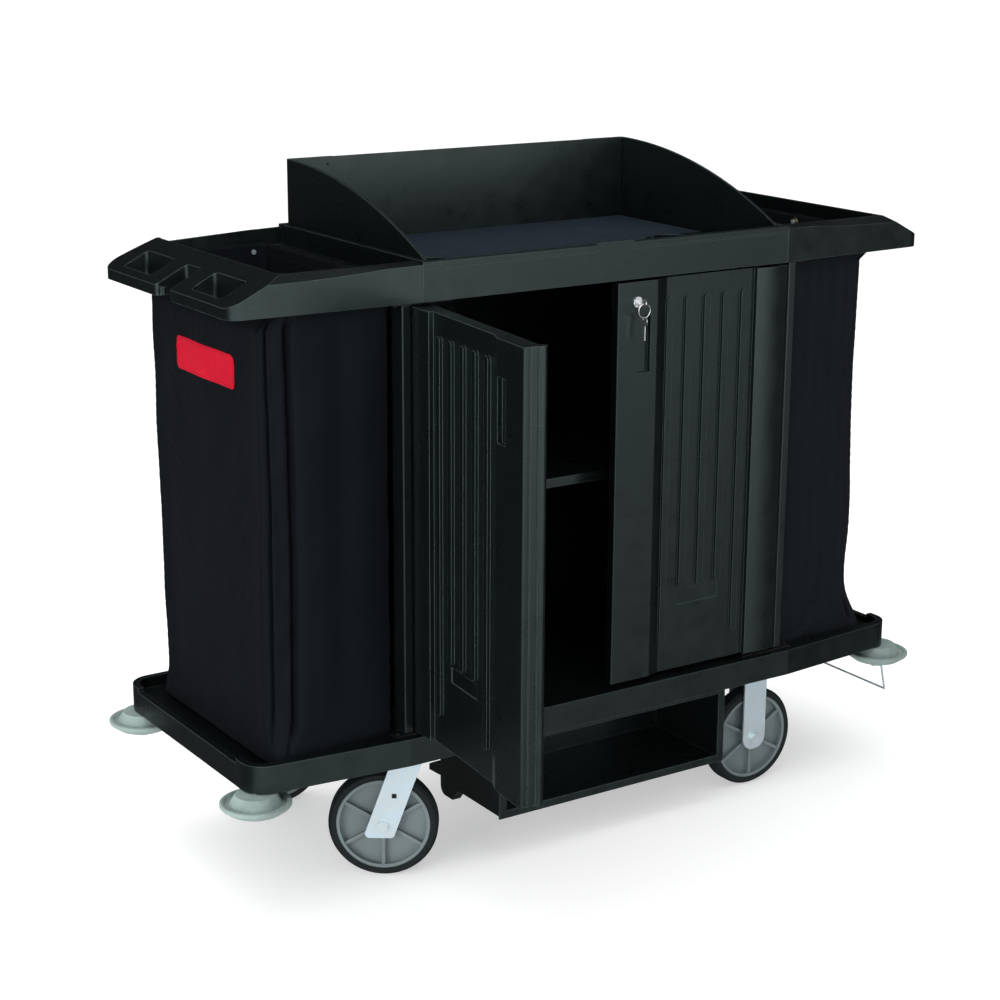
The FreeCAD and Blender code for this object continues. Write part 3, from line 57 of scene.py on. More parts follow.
# ------------------------------------------------------------------ materials
class Look:
    """One procedural material: a Principled shader and short ways to add nodes to it."""

    def __init__(self, name, roughness=0.5, metallic=0.0, specular=0.5):
        self.material = bpy.data.materials.new(name)
        self.material.use_nodes = True
        self.tree = self.material.node_tree
        self.shader = self.tree.nodes["Principled BSDF"]
        self.shader.inputs["Roughness"].default_value = roughness
        self.shader.inputs["Metallic"].default_value = metallic
        self.shader.inputs["Specular IOR Level"].default_value = specular
        self.place = self.node("ShaderNodeTexCoord").outputs["Object"]

    def node(self, kind, **settings):
        made = self.tree.nodes.new(kind)
        for name, value in settings.items():
            setattr(made, name, value)
        return made

    def feed(self, value, socket):
        if isinstance(value, bpy.types.NodeSocket):
            self.tree.links.new(value, socket)
        else:
            socket.default_value = value

    def colour(self, value):
        return value if isinstance(value, bpy.types.NodeSocket) else (*value, 1.0)

    def stretched(self, scale, place=None):
        mapping = self.node("ShaderNodeMapping")
        self.feed(place or self.place, mapping.inputs["Vector"])
        mapping.inputs["Scale"].default_value = scale
        return mapping.outputs["Vector"]

    def noise(self, scale, detail=3.0, roughness=0.55, place=None):
        made = self.node("ShaderNodeTexNoise")
        self.feed(place or self.place, made.inputs["Vector"])
        made.inputs["Scale"].default_value = scale
        made.inputs["Detail"].default_value = detail
        made.inputs["Roughness"].default_value = roughness
        return made.outputs["Fac"]

    def cells(self, scale):
        made = self.node("ShaderNodeTexVoronoi", feature="F1")
        self.feed(self.place, made.inputs["Vector"])
        made.inputs["Scale"].default_value = scale
        return made.outputs["Distance"]

    def wave(self, scale, direction="X", distortion=0.0, place=None):
        made = self.node("ShaderNodeTexWave", bands_direction=direction)
        self.feed(place or self.place, made.inputs["Vector"])
        made.inputs["Scale"].default_value = scale
        made.inputs["Distortion"].default_value = distortion
        return made.outputs["Fac"]

    def spread(self, value, low, high, to_low=0.0, to_high=1.0):
        made = self.node("ShaderNodeMapRange")
        self.feed(value, made.inputs["Value"])
        limits = {"From Min": low, "From Max": high, "To Min": to_low, "To Max": to_high}
        for name, number in limits.items():
            made.inputs[name].default_value = number
        return made.outputs["Result"]

    def math(self, operation, first, second=0.0):
        made = self.node("ShaderNodeMath", operation=operation)
        self.feed(first, made.inputs[0])
        self.feed(second, made.inputs[1])
        return made.outputs["Value"]

    def mix(self, share, first, second):
        made = self.node("ShaderNodeMix", data_type="RGBA")
        self.feed(share, made.inputs["Factor"])
        self.feed(self.colour(first), made.inputs["A"])
        self.feed(self.colour(second), made.inputs["B"])
        return made.outputs["Result"]

    def edge_normal(self, radius):
        """Normal rounded over sharp edges, and how strongly a point is on such an edge."""
        bevel = self.node("ShaderNodeBevel", samples=4)
        bevel.inputs["Radius"].default_value = radius
        flat = self.node("ShaderNodeNewGeometry").outputs["Normal"]
        along = self.node("ShaderNodeVectorMath", operation="DOT_PRODUCT")
        self.tree.links.new(bevel.outputs["Normal"], along.inputs[0])
        self.tree.links.new(flat, along.inputs[1])
        return bevel.outputs["Normal"], self.spread(along.outputs["Value"], 0.985, 0.85)

    def bump(self, height, depth, normal=None, strength=1.0):
        made = self.node("ShaderNodeBump")
        self.feed(height, made.inputs["Height"])
        made.inputs["Distance"].default_value = depth
        made.inputs["Strength"].default_value = strength
        if normal is not None:
            self.feed(normal, made.inputs["Normal"])
        return made.outputs["Normal"]

    def facing_up(self):
        """How far the surface faces up, 0 to 1, for dust."""
        normal = self.node("ShaderNodeNewGeometry").outputs["Normal"]
        split = self.node("ShaderNodeSeparateXYZ")
        self.feed(normal, split.inputs[0])
        return self.spread(split.outputs["Z"], 0.75, 1.0)

    def finish(self, colour, roughness=None, normal=None):
        self.feed(self.colour(colour), self.shader.inputs["Base Color"])
        if roughness is not None:
            self.feed(roughness, self.shader.inputs["Roughness"])
        if normal is not None:
            self.feed(normal, self.shader.inputs["Normal"])
        return self.material


def scaled(base, factor):
    """A colour made darker or paler, kept within range."""
    return tuple(min(1.0, part * factor) for part in base)


# The edge colour paints worn plastic and painted highlights on sharp edges, and also colours the scuffs.
def moulded_plastic(name, base, edge, roughness=0.5, grain=1.0, edge_radius=1.6 * MM, specular=0.5):
    """Structural-foam plastic: leathery grain, faint flow swirls, edges worn paler and lightened further as
    painted edge highlights, scuffs and dust.
    """
    look = Look(name, specular=specular)
    look.shader.inputs["Specular Tint"].default_value = (0.78, 1.0, 1.0, 1.0)
    rounded, on_edge = look.edge_normal(edge_radius)
    pebbles = look.cells(420)
    fine = look.noise(1500, 2)
    swirl = look.noise(7, 4, 0.6, look.stretched((1, 1, 0.45)))
    scuff = look.spread(look.noise(38, 6, 0.7, look.stretched((1, 1, 5))), 0.66, 0.78)
    tint = look.mix(look.spread(swirl, 0.3, 0.7), scaled(base, 0.86), scaled(base, 1.14))
    dusty = look.mix(look.math("MULTIPLY", look.facing_up(), 0.12), tint, scaled(base, 2.2))
    # Sharp edges mixed towards the edge colour: partly rubbed wear, mostly a painted highlight along each
    # edge.
    worn_and_highlit_edges = look.mix(look.math("MULTIPLY", on_edge, 0.75), dusty, edge)
    scuffed = look.mix(look.math("MULTIPLY", scuff, 0.10), worn_and_highlit_edges, edge)
    height = look.math("ADD", look.math("MULTIPLY", pebbles, 0.7), look.math("MULTIPLY", fine, 0.3))
    normal = look.bump(height, 0.14 * MM * grain, rounded)
    gloss = look.spread(look.noise(24, 4), 0.3, 0.7, roughness - 0.05, roughness + 0.08)
    return look.finish(scuffed, gloss, normal)


def plated_steel(name, base, roughness):
    """Zinc plate: fine drawn lines, cloudy blotches and a bluish cast."""
    look = Look(name, metallic=0.65)
    rounded, on_edge = look.edge_normal(0.8 * MM)
    lines = look.noise(260, 3, 0.6, look.stretched((1, 1, 18)))
    cloud = look.noise(30, 4, 0.65)
    cool = tuple(min(1.0, c * f) for c, f in zip(base, (0.90, 0.97, 1.06)))
    tint = look.mix(look.spread(cloud, 0.35, 0.65), base, cool)
    # Sharp edges paler than the plate: a painted highlight along each edge.
    bright = look.mix(look.math("MULTIPLY", on_edge, 0.6), tint, scaled(base, 1.15))
    gloss = look.spread(cloud, 0.3, 0.7, roughness - BLOTCH / 2, roughness + BLOTCH)
    return look.finish(bright, gloss, look.bump(lines, 0.05 * MM, rounded))


def polished_metal(name, base, roughness, grime):
    """Chrome or brass: soft scratches, grime gathered in hollows of its noise."""
    look = Look(name, metallic=1.0)
    rounded, on_edge = look.edge_normal(0.5 * MM)
    cloud = look.noise(140, 5, 0.7)
    dirty = look.mix(look.spread(cloud, 0.52, 0.72), base, grime)
    # Sharp edges paler than the metal: a painted glint along each edge.
    bright = look.mix(look.math("MULTIPLY", on_edge, 0.5), dirty, scaled(base, 1.2))
    scratch = look.noise(500, 2, 0.5, look.stretched((1, 6, 1)))
    gloss = look.spread(cloud, 0.35, 0.7, roughness, roughness + 0.2)
    return look.finish(bright, gloss, look.bump(scratch, 0.02 * MM, rounded))


def soft_rubber(name, base, dirt, roughness=0.6, sheen=0.15, clear=0.0, specular=0.2):
    """Rubber: matte skin, faint bloom, scuffed and dusty patches."""
    look = Look(name, specular=specular)
    rounded, on_edge = look.edge_normal(1.2 * MM)
    cloud = look.noise(34, 5, 0.65)
    skin = look.noise(900, 2)
    tint = look.mix(look.spread(cloud, 0.45, 0.75), base, dirt)
    # Sharp edges paler than the rubber: a painted highlight along each edge.
    pale = look.mix(look.math("MULTIPLY", on_edge, 0.35), tint, scaled(base, 1.3))
    look.shader.inputs["Sheen Weight"].default_value = sheen
    look.shader.inputs["Subsurface Weight"].default_value = clear
    look.shader.inputs["Subsurface Scale"].default_value = 4 * MM
    gloss = look.spread(cloud, 0.3, 0.7, roughness - 0.06, roughness + 0.1)
    return look.finish(pale, gloss, look.bump(skin, 0.06 * MM, rounded))


def woven_fabric(name, base, thread, pitch=1.1 * MM, sheen=0.015):
    """Coated woven nylon: crossing threads read from the cloth's own UV lengths, slubs and creases."""
    look = Look(name, specular=0.16)
    look.shader.inputs["Specular Tint"].default_value = (0.75, 0.88, 1.0, 1.0)
    uv = look.node("ShaderNodeUVMap", uv_map="cloth").outputs["UV"]
    per_metre = math.pi / 10 / pitch
    warp = look.wave(per_metre, "X", 0.6, uv)
    weft = look.wave(per_metre, "Y", 0.6, uv)
    weave = look.math("MULTIPLY", warp, weft)
    slub = look.noise(90, 4, 0.6, look.stretched((1, 7, 1), uv))
    crease = look.noise(11, 5, 0.62, look.stretched((1, 0.55, 1), uv))
    tint = look.mix(look.spread(slub, 0.35, 0.7), base, thread)
    creased = look.math("MULTIPLY", look.spread(crease, 0.5, 0.75), 0.35)
    faded = look.mix(creased, tint, scaled(thread, 1.7))
    cloth = look.mix(look.math("MULTIPLY", weave, 0.5), faded, scaled(base, 0.55))
    look.shader.inputs["Sheen Weight"].default_value = sheen
    look.shader.inputs["Sheen Roughness"].default_value = 0.45
    fold = look.bump(crease, 2.2 * MM)
    normal = look.bump(weave, 0.18 * MM, fold)
    gloss = look.spread(slub, 0.3, 0.7, 0.62, 0.8)
    return look.finish(cloth, gloss, normal)


LOOKS = {
    # The second colour of each moulded plastic is its edge colour: worn plastic and painted edge highlights,
    # also used for scuffs.
    "dark_plastic": moulded_plastic("dark_plastic", (0.0028, 0.0041, 0.0042), (0.12, 0.165, 0.17), 0.30,
                                    specular=0.46),
    "clip_plastic": moulded_plastic("clip_plastic", (0.0075, 0.009, 0.009), (0.05, 0.056, 0.056), 0.42),
    "mat_rubber": soft_rubber("mat_rubber", (0.0095, 0.0150, 0.0235), (0.013, 0.019, 0.028), 0.7, 0.0),
    "bag_fabric": woven_fabric("bag_fabric", (0.0015, 0.0023, 0.0034), (0.0026, 0.0038, 0.0054)),
    "patch_cloth": woven_fabric("patch_cloth", (0.42, 0.0, 0.012), (0.50, 0.0, 0.02), 0.8 * MM, 0.0),
    "stitch_thread": soft_rubber("stitch_thread", (0.012, 0.014, 0.017), (0.018, 0.021, 0.025), 0.7, 0.02),
    "patch_thread": soft_rubber("patch_thread", (0.12, 0.006, 0.014), (0.2, 0.012, 0.026), 0.7, 0.02),
    "brass": polished_metal("brass", (0.50, 0.40, 0.20), 0.34, (0.16, 0.12, 0.06)),
    "zinc_steel": plated_steel("zinc_steel", (0.60, 0.68, 0.70), 0.40),
    "black_steel": soft_rubber("black_steel", (0.005, 0.0058, 0.0058), (0.008, 0.009, 0.009), 0.5, 0.0),
    "lock_chrome": polished_metal("lock_chrome", (0.70, 0.71, 0.73), 0.16, (0.30, 0.30, 0.31)),
    "wheel_plastic": moulded_plastic("wheel_plastic", (0.15, 0.18, 0.187), (0.36, 0.40, 0.41), 0.42, 0.4),
    "tyre": soft_rubber("tyre", (0.0050, 0.0078, 0.0086), (0.009, 0.013, 0.014), 0.66, 0.0),
    "bumper_rubber": soft_rubber("bumper_rubber", (0.28, 0.36, 0.34), (0.21, 0.26, 0.245), 0.5, 0.05, 0.05),
}


def dress(thing, slot, look=None):
    """Gives a piece the finish of a record slot, or one of its own under that slot."""
    thing.data.materials.clear()
    thing.data.materials.append(LOOKS[look or slot])


# ---------------------------------------------------------------- shapes
def mesh_object(name, points, faces, smooth=True, uvs=None):
    """A mesh object, with UVs in metres of cloth when given per vertex."""
    mesh = bpy.data.meshes.new(name)
    mesh.from_pydata([tuple(p) for p in points], [], faces)
    if uvs is not None:
        layer = mesh.uv_layers.new(name="cloth")
        for loop in mesh.loops:
            layer.data[loop.index].uv = uvs[loop.vertex_index]
    for polygon in mesh.polygons:
        polygon.use_smooth = smooth
    thing = bpy.data.objects.new(name, mesh)
    bpy.context.scene.collection.objects.link(thing)
    mesh.update()
    return thing


def baked(thing):
    """Replaces an object's mesh by its evaluated mesh and drops its modifiers."""
    graph = bpy.context.evaluated_depsgraph_get()
    mesh = bpy.data.meshes.new_from_object(thing.evaluated_get(graph), depsgraph=graph)
    thing.modifiers.clear()
    old = thing.data
    thing.data = mesh
    bpy.data.meshes.remove(old)
    mesh.name = thing.name


# ------------------------------------------------------------------- bags
CLOTH = 1.6 * MM
BAG_CORNER = 22 * MM
COLUMN = 10 * MM
ROWS = 92
NECK_ROWS = 5
SETTLING = 24
# A pleat at an outer corner of a bag, from its end face round to its long face, in millimetres: the way
# along the plain outline from the corner, then how far in from the end face and from the long face.
PLEAT = [(-60, 0, 64.7), (-40, -2, 44), (-28, -3, 32), (-20, 5, 26), (-15, 17, 27), (-10, 11, 17),
         (0, 22, 13), (12, 38, 9), (18, 44, 13), (24, 47, 24), (32, 50, 9), (41, 53, -2), (54, 68, -5),
         (80, 92, -2), (110, 114.7, 0)]
END_FOLD, STRIP_END = 7, 11
# Soft vertical folds on the long faces: place outwards from the middle, how proud, half width, in metres.
FOLDS = {"left_bag": [(-0.060, 0.004, 0.050), (0.020, -0.004, 0.045)],
         "right_bag": [(-0.084, 0.008, 0.016), (-0.054, -0.009, 0.020), (-0.024, 0.009, 0.022),
                       (0.012, -0.008, 0.026)]}


def smoothstep(value):
    value = min(1.0, max(0.0, value))
    return value * value * (3 - 2 * value)


def hump(value, centre, half_width):
    """A smooth bump, 1 at its centre and 0 beyond its half width."""
    return smoothstep(1 - abs(value - centre) / half_width)


def along_curve(points, travel):
    """Point on a smooth curve through the points, with the travel counted in points."""
    first = min(int(travel), len(points) - 2)
    share = travel - first
    picks = [min(max(first + step, 0), len(points) - 1) for step in (-1, 0, 1, 2)]
    before, start, end, after = (Vector(points[pick]) for pick in picks)
    turn = before * 2 - start * 5 + end * 4 - after
    bend = start * 3 - before - end * 3 + after
    return (start * 2 + (end - before) * share + turn * share ** 2 + bend * share ** 3) / 2


def walk_outline(away, half_u, half_v, corner):
    """Place and outward direction along a rounded rectangle, from the middle of its near side."""
    quarter = math.pi / 2 * corner
    place = Vector((-half_u, 0))
    turn = math.pi
    for half in (half_v, half_u, half_v, half_u, half_v):
        length = (half - corner) * (1 if turn in (math.pi, 3 * math.pi) else 2)
        out = Vector((math.cos(turn), math.sin(turn)))
        forward = Vector((-out.y, out.x))
        if away <= length or turn > 2.9 * math.pi:
            return place + forward * away, out
        centre = place + forward * length - out * corner
        away -= length
        if away < quarter:
            out = Vector((math.cos(turn + away / corner), math.sin(turn + away / corner)))
            return centre + out * corner, out
        away -= quarter
        turn += math.pi / 2
        place = centre + corner * Vector((math.cos(turn), math.sin(turn)))


class BagShape:
    """Size of one bag and the columns its cloth is divided into, in (outwards, front to back) places."""

    def __init__(self, name):
        self.name = name
        self.low, self.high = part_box(name)
        self.middle = (self.low + self.high) / 2
        self.side = 1 if self.middle.x > 0 else -1
        self.half_u = (self.high.x - self.low.x) / 2 - 0.2 * MM
        self.half_v = (self.high.y - self.low.y) / 2 - 0.2 * MM
        quarter = math.pi / 2 * BAG_CORNER
        self.front = self.half_v - BAG_CORNER + 2 * (self.half_u - BAG_CORNER) + 1.5 * quarter
        self.back = self.front + 2 * (self.half_v - BAG_CORNER) + quarter
        self.total = self.front + self.back
        self.columns = self.divide()

    def divide(self):
        """Columns as (length along the outline, travel on the pleat or None, front -1 or back 1)."""
        into, out = PLEAT[-1][0] * MM, -PLEAT[0][0] * MM
        travels = [step / 4 for step in range(4 * (len(PLEAT) - 1) + 1)]
        columns = [(away, None, -1) for away in spaced(0, self.front - into)]
        for travel in reversed(travels):
            columns.append((self.front - along_curve(PLEAT, travel).x * MM, travel, -1))
        columns += [(away, None, 1) for away in spaced(self.front + out, self.back - out)[1:]]
        for travel in travels:
            columns.append((self.back + along_curve(PLEAT, travel).x * MM, travel, 1))
        columns += [(away, None, 1) for away in spaced(self.back + into, self.total)[1:]]
        return columns

    def folded(self, travel, face, share):
        """Place on the pleat: its two creases wander a little and draw together towards the base."""
        _, inward, behind = along_curve(PLEAT, travel) * MM
        behind += 16 * MM * (0.5 - share) * smoothstep(1 - travel / END_FOLD)
        narrow = 1 - (0.10 - 0.16 * math.sin(math.pi * share)) * smoothstep((len(PLEAT) - 1 - travel) / 3)
        buckle = noise.noise(Vector((travel * 0.5, share * 16, self.side * 3 + face))) * 3 * MM
        buckle *= smoothstep(travel - 5) * smoothstep(STRIP_END - 1 - travel)
        return Vector((self.half_u - inward * narrow - buckle, face * (self.half_v - behind - buckle)))

    def drape(self, away, share):
        """How far the cloth stands proud: long soft waves down the bag and slanting drags across it."""
        loose = smoothstep(share * 9) * smoothstep((1 - share) * 12)
        wave = noise.noise(Vector((away * 11, share * 0.9, self.side * 5.0))) * 3.4 * MM
        slant = Vector((away * 12 + share * 4.5, share * 5 - away * 3, self.side * 8.0))
        drag = noise.noise(slant) * 2.4 * MM
        return (wave + drag - 1.2 * MM) * loose

    def drawn_in(self, share):
        """How far the end of the right bag hangs inwards: more above, flaring out just over its base."""
        if self.side < 0:
            return 0.0
        return (30 + 13 * smoothstep((share - 0.3) / 0.4) - 26 * smoothstep(1 - share / 0.14)
                + 5 * hump(share, 0.17, 0.10)) * MM

    def place(self, column, share):
        away, travel, face = column
        spot, out = walk_outline(away, self.half_u, self.half_v, BAG_CORNER)
        if travel is not None:
            spot = spot.lerp(self.folded(travel, face, share), smoothstep(share / 0.11))
        spot = spot + out * self.drape(away, share)
        if abs(spot.y) > self.half_v - BAG_CORNER:
            loose = smoothstep(share * 5) * smoothstep((1 - share) * 12)
            proud = sum(high * hump(spot.x, centre, half) for centre, high, half in FOLDS[self.name])
            spot.y += math.copysign(proud * loose, spot.y)
        spot.x -= self.drawn_in(share) * smoothstep(spot.x / self.half_u)
        return spot

    def neck(self, away):
        """The bag's neck is a smaller ring inside the rim, with the same cloth eased round it."""
        shy = 16 * MM
        half_u, half_v, corner = self.half_u - shy, self.half_v - 2 * MM, 12 * MM
        length = 4 * (half_u + half_v) - (8 - 2 * math.pi) * corner
        spot, _ = walk_outline(away / self.total * length, half_u, half_v, corner)
        return spot - Vector((shy, 0))

    def cart_place(self, spot, z):
        return Vector((self.middle.x + self.side * spot.x, self.middle.y + spot.y, z))


def spaced(start, end):
    """Lengths from the start up to, but not including, the end, about one column apart."""
    count = max(1, round((end - start) / COLUMN))
    return [start + (end - start) * step / count for step in range(count)]


def make_bag(name):
    """A hanging bag: pleated tube sewn to a flat base and held at its neck, settled as cloth."""
    shape = BagShape(name)
    rim_low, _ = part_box("left_end_rim" if shape.side < 0 else "right_end_rim")
    base_z = shape.low.z + 3 * MM
    neck_z = rim_low.z + 2 * MM
    top_z = shape.high.z - 2 * MM
    around = len(shape.columns)
    points = []
    uvs = []
    for row in range(ROWS + 1):
        share = row / ROWS
        z = base_z + (neck_z - base_z) * share
        eased = smoothstep((share - 0.955) / 0.045)
        for column in shape.columns:
            spot = shape.place(column, share).lerp(shape.neck(column[0]), eased)
            points.append(shape.cart_place(spot, z))
            uvs.append((column[0], z))
    for row in range(1, NECK_ROWS + 1):
        z = neck_z + (top_z - neck_z) * row / NECK_ROWS
        for column in shape.columns:
            points.append(shape.cart_place(shape.neck(column[0]), z))
            uvs.append((column[0], z))
    rows = ROWS + 1 + NECK_ROWS
    faces = []
    for row in range(rows - 1):
        for column in range(around):
            after = (column + 1) % around
            below, above = row * around, (row + 1) * around
            quad = (below + column, below + after, above + after, above + column)
            faces.append(quad if shape.side > 0 else quad[::-1])
    bag = mesh_object(f"{name}_cloth", points, faces, uvs=uvs)
    settle(bag, shape, rows)
    close_base(bag, around, shape.side)
    thick = bag.modifiers.new("thickness", "SOLIDIFY")
    thick.thickness = CLOTH
    thick.offset = -1
    baked(bag)
    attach(bag, "cart")
    dress(bag, "bag_fabric")
    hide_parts(name)
    return bag, shape


def settle(bag, shape, rows):
    """Lets the pleated tube hang between its sewn neck and base, then keeps that shape."""
    around = len(shape.columns)
    held = bag.vertex_groups.new(name="held")
    for row in range(rows):
        for index, (_, travel, _) in enumerate(shape.columns):
            weight = 0.30 if travel is None else 0.60
            if row == 0 or row >= ROWS - 1:
                weight = 1.0
            held.add([row * around + index], weight, "REPLACE")
    cloth = bag.modifiers.new("cloth", "CLOTH")
    settings = cloth.settings
    settings.quality = 6
    settings.mass = 0.25
    settings.air_damping = 4
    settings.tension_stiffness = 20
    settings.compression_stiffness = 12
    settings.shear_stiffness = 6
    settings.bending_stiffness = 0.8
    settings.vertex_group_mass = "held"
    settings.shrink_min = -0.006
    cloth.collision_settings.use_collision = False
    cloth.collision_settings.use_self_collision = False
    cloth.point_cache.frame_start = 1
    cloth.point_cache.frame_end = SETTLING
    scene = bpy.context.scene
    for step in range(1, SETTLING + 1):
        scene.frame_set(step)
    baked(bag)
    near = min(abs(shape.low.x), abs(shape.high.x)) - 2 * MM
    for vertex in bag.data.vertices:
        vertex.co.x = math.copysign(max(near, abs(vertex.co.x)), vertex.co.x)
        vertex.co.y = min(shape.high.y + 6 * MM, max(shape.low.y - 6 * MM, vertex.co.y))
    scene.frame_set(1)


def close_base(bag, around, side):
    """Sews a flat base into the lowest ring of the tube."""
    mesh = bmesh.new()
    mesh.from_mesh(bag.data)
    mesh.verts.ensure_lookup_table()
    layer = mesh.loops.layers.uv.active
    ring = [mesh.verts[index] for index in range(around)]
    centre = sum((vertex.co for vertex in ring), Vector()) / around
    rings = [ring]
    for share in (0.75, 0.5, 0.25):
        rings.append([mesh.verts.new(centre.lerp(vertex.co, share)) for vertex in ring])
    hub = mesh.verts.new(centre)
    made = []
    for index in range(around):
        after = (index + 1) % around
        for outer, inner in zip(rings, rings[1:]):
            quad = (outer[after], outer[index], inner[index], inner[after])
            made.append(mesh.faces.new(quad if side > 0 else quad[::-1]))
        tip = (rings[-1][after], rings[-1][index], hub)
        made.append(mesh.faces.new(tip if side > 0 else tip[::-1]))
    for face in made:
        face.smooth = True
        for loop in face.loops:
            loop[layer].uv = (loop.vert.co.x, loop.vert.co.y)
    mesh.to_mesh(bag.data)
    mesh.free()
    bag.data.update()


def stitch_row(name, line, look, length=3.4 * MM, radius=0.45 * MM, pitch=5 * MM):
    """Real stitches along a line of (place, outward direction) pairs, half sunk in the cloth."""
    points = []
    faces = []
    rings = [(-0.5, 0.35), (-0.3, 1.0), (0.3, 1.0), (0.5, 0.35)]
    sides = 6
    spare = 0.0
    for (start, out), (end, _) in zip(line, line[1:]):
        run = (end - start).length
        while spare < run:
            along = (end - start).normalized()
            up = (out - along * out.dot(along)).normalized()
            across = along.cross(up)
            middle = start + along * spare
            first = len(points)
            for share, wide in rings:
                for side in range(sides):
                    angle = math.tau * side / sides
                    lift = math.cos(angle) * up + math.sin(angle) * across
                    points.append(middle + along * share * length + lift * radius * wide)
            for ring in range(len(rings) - 1):
                for side in range(sides):
                    after = (side + 1) % sides
                    low, high = first + ring * sides, first + (ring + 1) * sides
                    faces.append((low + side, low + after, high + after, high + side))
            last = first + (len(rings) - 1) * sides
            faces.append(tuple(first + side for side in reversed(range(sides))))
            faces.append(tuple(last + side for side in range(sides)))
            spare += pitch
        spare -= run
    row = mesh_object(name, points, faces)
    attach(row, "cart")
    dress(row, "bag_fabric", look)


def hem_stitches(shape):
    """Two rows of stitches inside and outside the neck's hem."""
    for row, drop in enumerate((7 * MM, 24 * MM)):
        for inside in (0, 1):
            line = []
            for step in range(241):
                away = shape.total * step / 240
                spot = shape.neck(away % shape.total)
                ahead = shape.neck((away + MM) % shape.total)
                forward = (ahead - spot).normalized()
                out = Vector((forward.y, -forward.x))
                sunk = -CLOTH if inside else 0.0
                place = shape.cart_place(spot + out * sunk, shape.high.z - drop)
                facing = Vector((shape.side * out.x, out.y, 0)) * (-1 if inside else 1)
                line.append((place, facing))
            stitch_row(f"{shape.name}_hem_stitches_{row}_{inside}", line, "stitch_thread")


def surface_of(thing):
    mesh = thing.data
    return BVHTree.FromPolygons([vertex.co for vertex in mesh.vertices],
                                [polygon.vertices for polygon in mesh.polygons])


def sewn_patch(bag, shape):
    """A plain red cloth patch sewn to the outer end of a bag, following its folds."""
    half_wide, half_high, corner, rise = 112 * MM, 30 * MM, 10 * MM, 1.0 * MM
    middle_z = shape.high.z - 162 * MM
    tree = surface_of(bag)
    toward = Vector((-shape.side, 0, 0))

    def on_bag(y, z, proud):
        start = Vector((shape.middle.x + shape.side * 0.3, y, z))
        return tree.ray_cast(start, toward)[0] - toward * proud

    def half_width(up, inset=0.0):
        past = max(0.0, abs(up) - (half_high - corner))
        return half_wide - inset - corner + math.sqrt(max(0.0, corner ** 2 - past ** 2))

    across, up_steps = 64, 20
    points = []
    uvs = []
    for row in range(up_steps + 1):
        up = half_high * math.sin(math.pi * (row / up_steps - 0.5))
        for column in range(across + 1):
            turn = math.pi / 2 * (2 * column / across - 1) * 0.96
            out = half_width(up) * math.sin(turn) / math.sin(math.pi * 0.48)
            edge = min(half_width(up) - abs(out), half_high - abs(up))
            proud = 0.15 * MM + rise * smoothstep(edge / (1.6 * MM) + 0.25)
            points.append(on_bag(shape.middle.y + out, middle_z + up, proud))
            uvs.append((out, up))
    faces = []
    for row in range(up_steps):
        for column in range(across):
            corner_index = row * (across + 1) + column
            quad = (corner_index, corner_index + 1, corner_index + across + 2, corner_index + across + 1)
            faces.append(quad if shape.side > 0 else quad[::-1])
    patch = mesh_object("end_patch", points, faces, uvs=uvs)
    thick = patch.modifiers.new("thickness", "SOLIDIFY")
    thick.thickness = 0.9 * MM
    thick.offset = -1
    baked(patch)
    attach(patch, "cart")
    dress(patch, "bag_fabric", "patch_cloth")

    inset = 4 * MM
    reach_wide, reach_high, bend = half_wide - inset, half_high - inset, corner - inset / 2
    length = 4 * (reach_wide + reach_high) - (8 - 2 * math.pi) * bend
    line = []
    for step in range(181):
        spot, _ = walk_outline(length * step / 180, reach_wide, reach_high, bend)
        line.append((on_bag(shape.middle.y + spot.x, middle_z + spot.y, rise + 0.2 * MM), -toward))
    stitch_row("end_patch_stitches", line, "patch_thread", length=2.6 * MM, radius=0.35 * MM, pitch=3.6 * MM)


left_bag, left_shape = make_bag("left_bag")
right_bag, right_shape = make_bag("right_bag")
for bag_shape in (left_shape, right_shape):
    hem_stitches(bag_shape)
sewn_patch(left_bag, left_shape)

for name, thing in nodes.items():
    slot_name = next(s["material_slot"] for s in frame["record"]["subparts"] if s["node"] == name)
    thing.data.materials.clear()
    thing.data.materials.append(LOOKS[slot_name])


# --------------------------------------------------------------- light, floor
def area_light(name, place, aim, size, power, tall):
    data = bpy.data.lights.new(name, "AREA")
    data.shape = "RECTANGLE"
    data.size = size
    data.size_y = tall
    data.energy = power
    lamp = bpy.data.objects.new(name, data)
    lamp.location = place
    lamp.rotation_mode = "QUATERNION"
    lamp.rotation_quaternion = (Vector(aim) - Vector(place)).to_track_quat("-Z", "Y")
    lamp.visible_glossy = False
    bpy.context.scene.collection.objects.link(lamp)


def pale_floor():
    """A wide white floor under the cart."""
    half = 300.0
    floor = mesh_object("floor", [(-half, -half, 0), (half, -half, 0), (half, half, 0), (-half, half, 0)],
                        [(0, 1, 2, 3)], smooth=False)
    look = Look("floor", roughness=0.75, specular=0.15)
    tint = look.mix(look.noise(0.7, 3), (0.79, 0.795, 0.795), (0.81, 0.81, 0.81))
    floor.data.materials.append(look.finish(tint))
    look.shader.inputs["Emission Color"].default_value = (1.0, 1.0, 1.0, 1.0)
    look.shader.inputs["Emission Strength"].default_value = 0.42
    floor.visible_glossy = False


# Strength of the world for matte surfaces, and the way it leans.
MATTE_LIGHT = 0.72
MATTE_BIAS = (-0.15, 0.25, 0.1)
# Where reflections see the glow, and how strong each part of the reflected world is.
GLOW_WAY = (-0.35, -0.94, 0.0)
REFLECTED_FRONT = 2.8
REFLECTED_ABOVE = 0.25
REFLECTED_BELOW = 0.08
REFLECTED_BACK = 0.022


